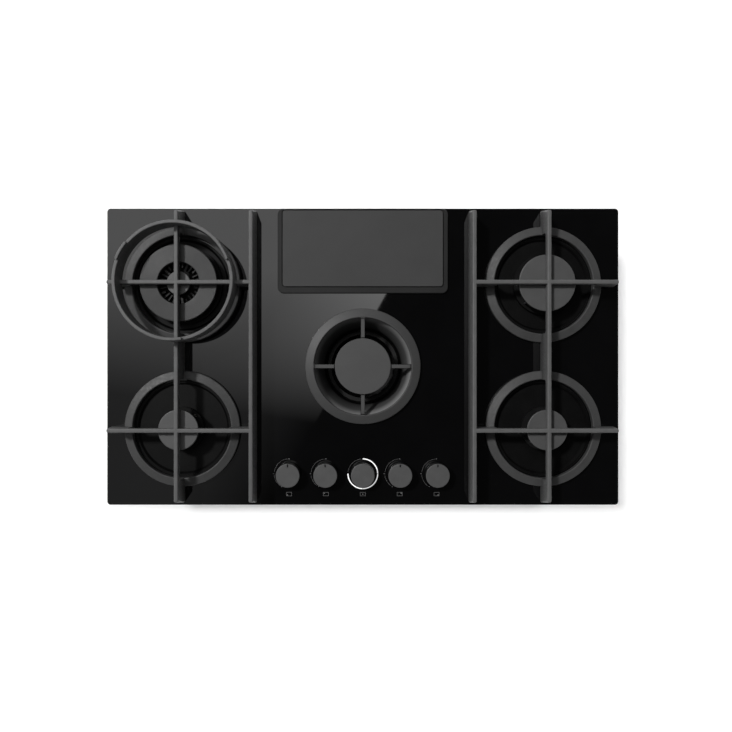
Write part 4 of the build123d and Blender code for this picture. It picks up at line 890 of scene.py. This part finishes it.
# --- Stage ----------------------------------------------------------------------------------------
FLOOR_SIZE = 12.0
FLOOR_OVERLAP = 0.002
FLOOR_GLOW = 0.3
STUDIO_FILL = 0.11
SUN_ANGLE = math.radians(6.0)
OBJECT_SUN = (-0.60, 0.43, 1.0)
OBJECT_SUN_STRENGTH = 2.9
FLOOR_SUN_LEFT = (-0.412, 0.239, 1.0)
FLOOR_SUN_LEFT_STRENGTH = 1.8
FLOOR_SUN_RIGHT = (0.377, 0.239, 1.0)
FLOOR_SUN_RIGHT_STRENGTH = 1.0
SOFTBOX_HEIGHT = 1.6
SOFTBOX_WIDTH = 1.2
SOFTBOX_LENGTH = 1.85
SOFTBOX_OVERRUN = 0.35
SOFTBOX_ENERGY = 13.6
# Where on the glass the panel's slanting edge is mirrored.
EDGE_REAR = (0.1175, 0.249)
EDGE_FRONT = (-0.1600, -0.255)
# The way on the glass along which the panel grows brighter, nearly straight rearwards.
REARWARDS = Vector((0.15, 0.989))
# Where the panel begins to glow and where it is full, in metres rearwards on the glass.
FADE_FROM = 0.15
FADE_TO = 0.40
# How bright the panel is away from its slanting edge and beside it.
GLOW_AWAY = 0.8
GLOW_BESIDE = 1.6
GLOW_REACH = 0.3
# The even light on the panel, which grows from none at the slanting edge over GLOW_REACH.
FAR_SIDE_LIGHT = 0.15


def floor_material():
    """White from above. From below it lets the view through to the object's underside."""
    material = bpy.data.materials.new("floor_white")
    material.use_nodes = True
    tree = material.node_tree
    tree.nodes.clear()
    output = tree.nodes.new("ShaderNodeOutputMaterial")
    diffuse = tree.nodes.new("ShaderNodeBsdfDiffuse")
    diffuse.inputs["Color"].default_value = (0.8, 0.8, 0.8, 1.0)
    strength = tree.nodes.new("ShaderNodeMath")
    strength.operation = "MULTIPLY"
    strength.inputs[1].default_value = FLOOR_GLOW
    link(tree, seen_directly(tree), strength.inputs[0])
    glow = tree.nodes.new("ShaderNodeEmission")
    link(tree, strength.outputs[0], glow.inputs["Strength"])
    both = tree.nodes.new("ShaderNodeAddShader")
    link(tree, diffuse.outputs[0], both.inputs[0])
    link(tree, glow.outputs[0], both.inputs[1])
    clear = tree.nodes.new("ShaderNodeBsdfTransparent")
    surface = tree.nodes.new("ShaderNodeNewGeometry")
    below = tree.nodes.new("ShaderNodeMixShader")
    link(tree, surface.outputs["Backfacing"], below.inputs["Fac"])
    link(tree, both.outputs[0], below.inputs[1])
    link(tree, clear.outputs[0], below.inputs[2])
    link(tree, below.outputs[0], output.inputs["Surface"])
    return material


def make_floor():
    """White floor round the foot of the housing. It keeps the shadow and reads as white."""
    mesh = bpy.data.meshes.new("floor")
    half = FLOOR_SIZE / 2
    foot_low, foot_high = foot_box("extractor_housing")
    west, east = foot_low.x + FLOOR_OVERLAP, foot_high.x - FLOOR_OVERLAP
    south, north = foot_low.y + FLOOR_OVERLAP, foot_high.y - FLOOR_OVERLAP
    corners = [(-half, -half), (half, -half), (half, half), (-half, half)]
    opening = [(west, south), (east, south), (east, north), (west, north)]
    sides = [(0, 1, 5, 4), (1, 2, 6, 5), (2, 3, 7, 6), (3, 0, 4, 7)]
    mesh.from_pydata([(x, y, 0.0) for x, y in corners + opening], [], sides)
    floor = bpy.data.objects.new("floor", mesh)
    bpy.context.scene.collection.objects.link(floor)
    mesh.materials.append(floor_material())


def make_world():
    """Pale all round and dark overhead, with an even fill for matte surfaces."""
    world = bpy.data.worlds.new("studio")
    bpy.context.scene.world = world
    world.use_nodes = True
    tree = world.node_tree
    tree.nodes.clear()
    output = tree.nodes.new("ShaderNodeOutputWorld")
    fill = tree.nodes.new("ShaderNodeBackground")
    fill.inputs["Color"].default_value = (1.0, 1.0, 1.0, 1.0)
    fill.inputs["Strength"].default_value = STUDIO_FILL
    seen = tree.nodes.new("ShaderNodeBackground")
    coordinates = tree.nodes.new("ShaderNodeTexCoord")
    split = tree.nodes.new("ShaderNodeSeparateXYZ")
    link(tree, coordinates.outputs["Generated"], split.inputs["Vector"])
    sky = ramp(
        tree,
        split.outputs["Z"],
        [(0.0, grey(1.0)), (0.45, grey(1.0)), (0.75, grey(0.05)), (1.0, grey(0.03))],
    )
    link(tree, sky, seen.inputs["Color"])
    mix = tree.nodes.new("ShaderNodeMixShader")
    link(tree, seen_directly(tree), mix.inputs["Fac"])
    link(tree, fill.outputs[0], mix.inputs[1])
    link(tree, seen.outputs[0], mix.inputs[2])
    link(tree, mix.outputs[0], output.inputs["Surface"])


def make_sun(name, direction, strength, floor_state):
    """Parallel light from one side. It includes or excludes the floor."""
    light = bpy.data.lights.new(name, "SUN")
    light.energy = strength
    light.angle = SUN_ANGLE
    sun = bpy.data.objects.new(name, light)
    bpy.context.scene.collection.objects.link(sun)
    towards = Vector(direction)
    sun.rotation_euler = towards.to_track_quat("Z", "Y").to_euler()
    sun.location = towards * 3
    lit = bpy.data.collections.new(name + "_lit")
    lit.objects.link(bpy.data.objects["floor"])
    lit.collection_objects[0].light_linking.link_state = floor_state
    sun.light_linking.receiver_collection = lit


def on_softbox(point):
    """Where the mirror ray of a point on the glass meets the softbox's level."""
    stretch = (CAMERA_HEIGHT + SOFTBOX_HEIGHT) / CAMERA_HEIGHT
    return Vector(
        (
            CAMERA_X + (point[0] - CAMERA_X) * stretch,
            CAMERA_Y + (point[1] - CAMERA_Y) * stretch,
        )
    )


def scaled_sum(tree, first, first_scale, second, second_scale, constant):
    """first * first_scale + second * second_scale + constant."""
    left = tree.nodes.new("ShaderNodeMath")
    left.operation = "MULTIPLY_ADD"
    link(tree, first, left.inputs[0])
    left.inputs[1].default_value = first_scale
    left.inputs[2].default_value = constant
    both = tree.nodes.new("ShaderNodeMath")
    both.operation = "MULTIPLY_ADD"
    link(tree, second, both.inputs[0])
    both.inputs[1].default_value = second_scale
    link(tree, left.outputs[0], both.inputs[2])
    return both.outputs[0]


def make_softbox():
    """Large overhead panel whose right edge the glass mirrors as a slanting line."""
    edge_front = on_softbox(EDGE_FRONT)
    along = (on_softbox(EDGE_REAR) - edge_front).normalized()
    outward = Vector((-along.y, along.x))
    corner = edge_front - along * SOFTBOX_OVERRUN
    centre = corner + along * SOFTBOX_LENGTH / 2 + outward * SOFTBOX_WIDTH / 2
    light = bpy.data.lights.new("softbox", "AREA")
    light.shape = "RECTANGLE"
    light.size = SOFTBOX_WIDTH
    light.size_y = SOFTBOX_LENGTH
    light.energy = SOFTBOX_ENERGY
    light.use_nodes = True
    tree = light.node_tree
    emission = tree.nodes["Emission"]
    surface = tree.nodes.new("ShaderNodeNewGeometry")
    split = tree.nodes.new("ShaderNodeSeparateXYZ")
    link(tree, surface.outputs["Parametric"], split.inputs["Vector"])
    # The panel fades towards the front. Positions are metres on the glass that mirrors it.
    stretch = (CAMERA_HEIGHT + SOFTBOX_HEIGHT) / CAMERA_HEIGHT
    up_scale = REARWARDS.dot(along) * SOFTBOX_LENGTH / stretch
    across_scale = -REARWARDS.dot(outward) * SOFTBOX_WIDTH / stretch
    start = -REARWARDS.dot(along) * SOFTBOX_OVERRUN / stretch - across_scale
    across = split.outputs["X"]
    depth = scaled_sum(tree, across, across_scale, split.outputs["Y"], up_scale, start)
    fade = mapped(tree, depth, 0.0, 1.0, FADE_FROM, FADE_TO)
    # X is 1 at the slanting edge. The panel glows more there, as a strip lamp's panel does.
    glow = mapped(tree, across, GLOW_AWAY, GLOW_BESIDE, 1.0 - GLOW_REACH, 1.0)
    # Its far side keeps a little even light down to the front.
    even = mapped(tree, across, 0.0, FAR_SIDE_LIGHT, 1.0, 1.0 - GLOW_REACH)
    colour = blended(tree, multiplied(tree, fade, glow), even, "ADD")
    link(tree, colour, emission.inputs["Color"])
    softbox = bpy.data.objects.new("softbox", light)
    bpy.context.scene.collection.objects.link(softbox)
    softbox.location = (centre.x, centre.y, GLASS_TOP + SOFTBOX_HEIGHT)
    softbox.rotation_euler = (0.0, 0.0, math.atan2(along.y, along.x) - math.pi / 2)
    softbox.visible_camera = False


make_floor()
make_world()
make_sun("key", OBJECT_SUN, OBJECT_SUN_STRENGTH, "EXCLUDE")
make_sun("floor_left", FLOOR_SUN_LEFT, FLOOR_SUN_LEFT_STRENGTH, "INCLUDE")
make_sun("floor_right", FLOOR_SUN_RIGHT, FLOOR_SUN_RIGHT_STRENGTH, "INCLUDE")
make_softbox()

scene = bpy.context.scene
scene.view_settings.view_transform = "Standard"
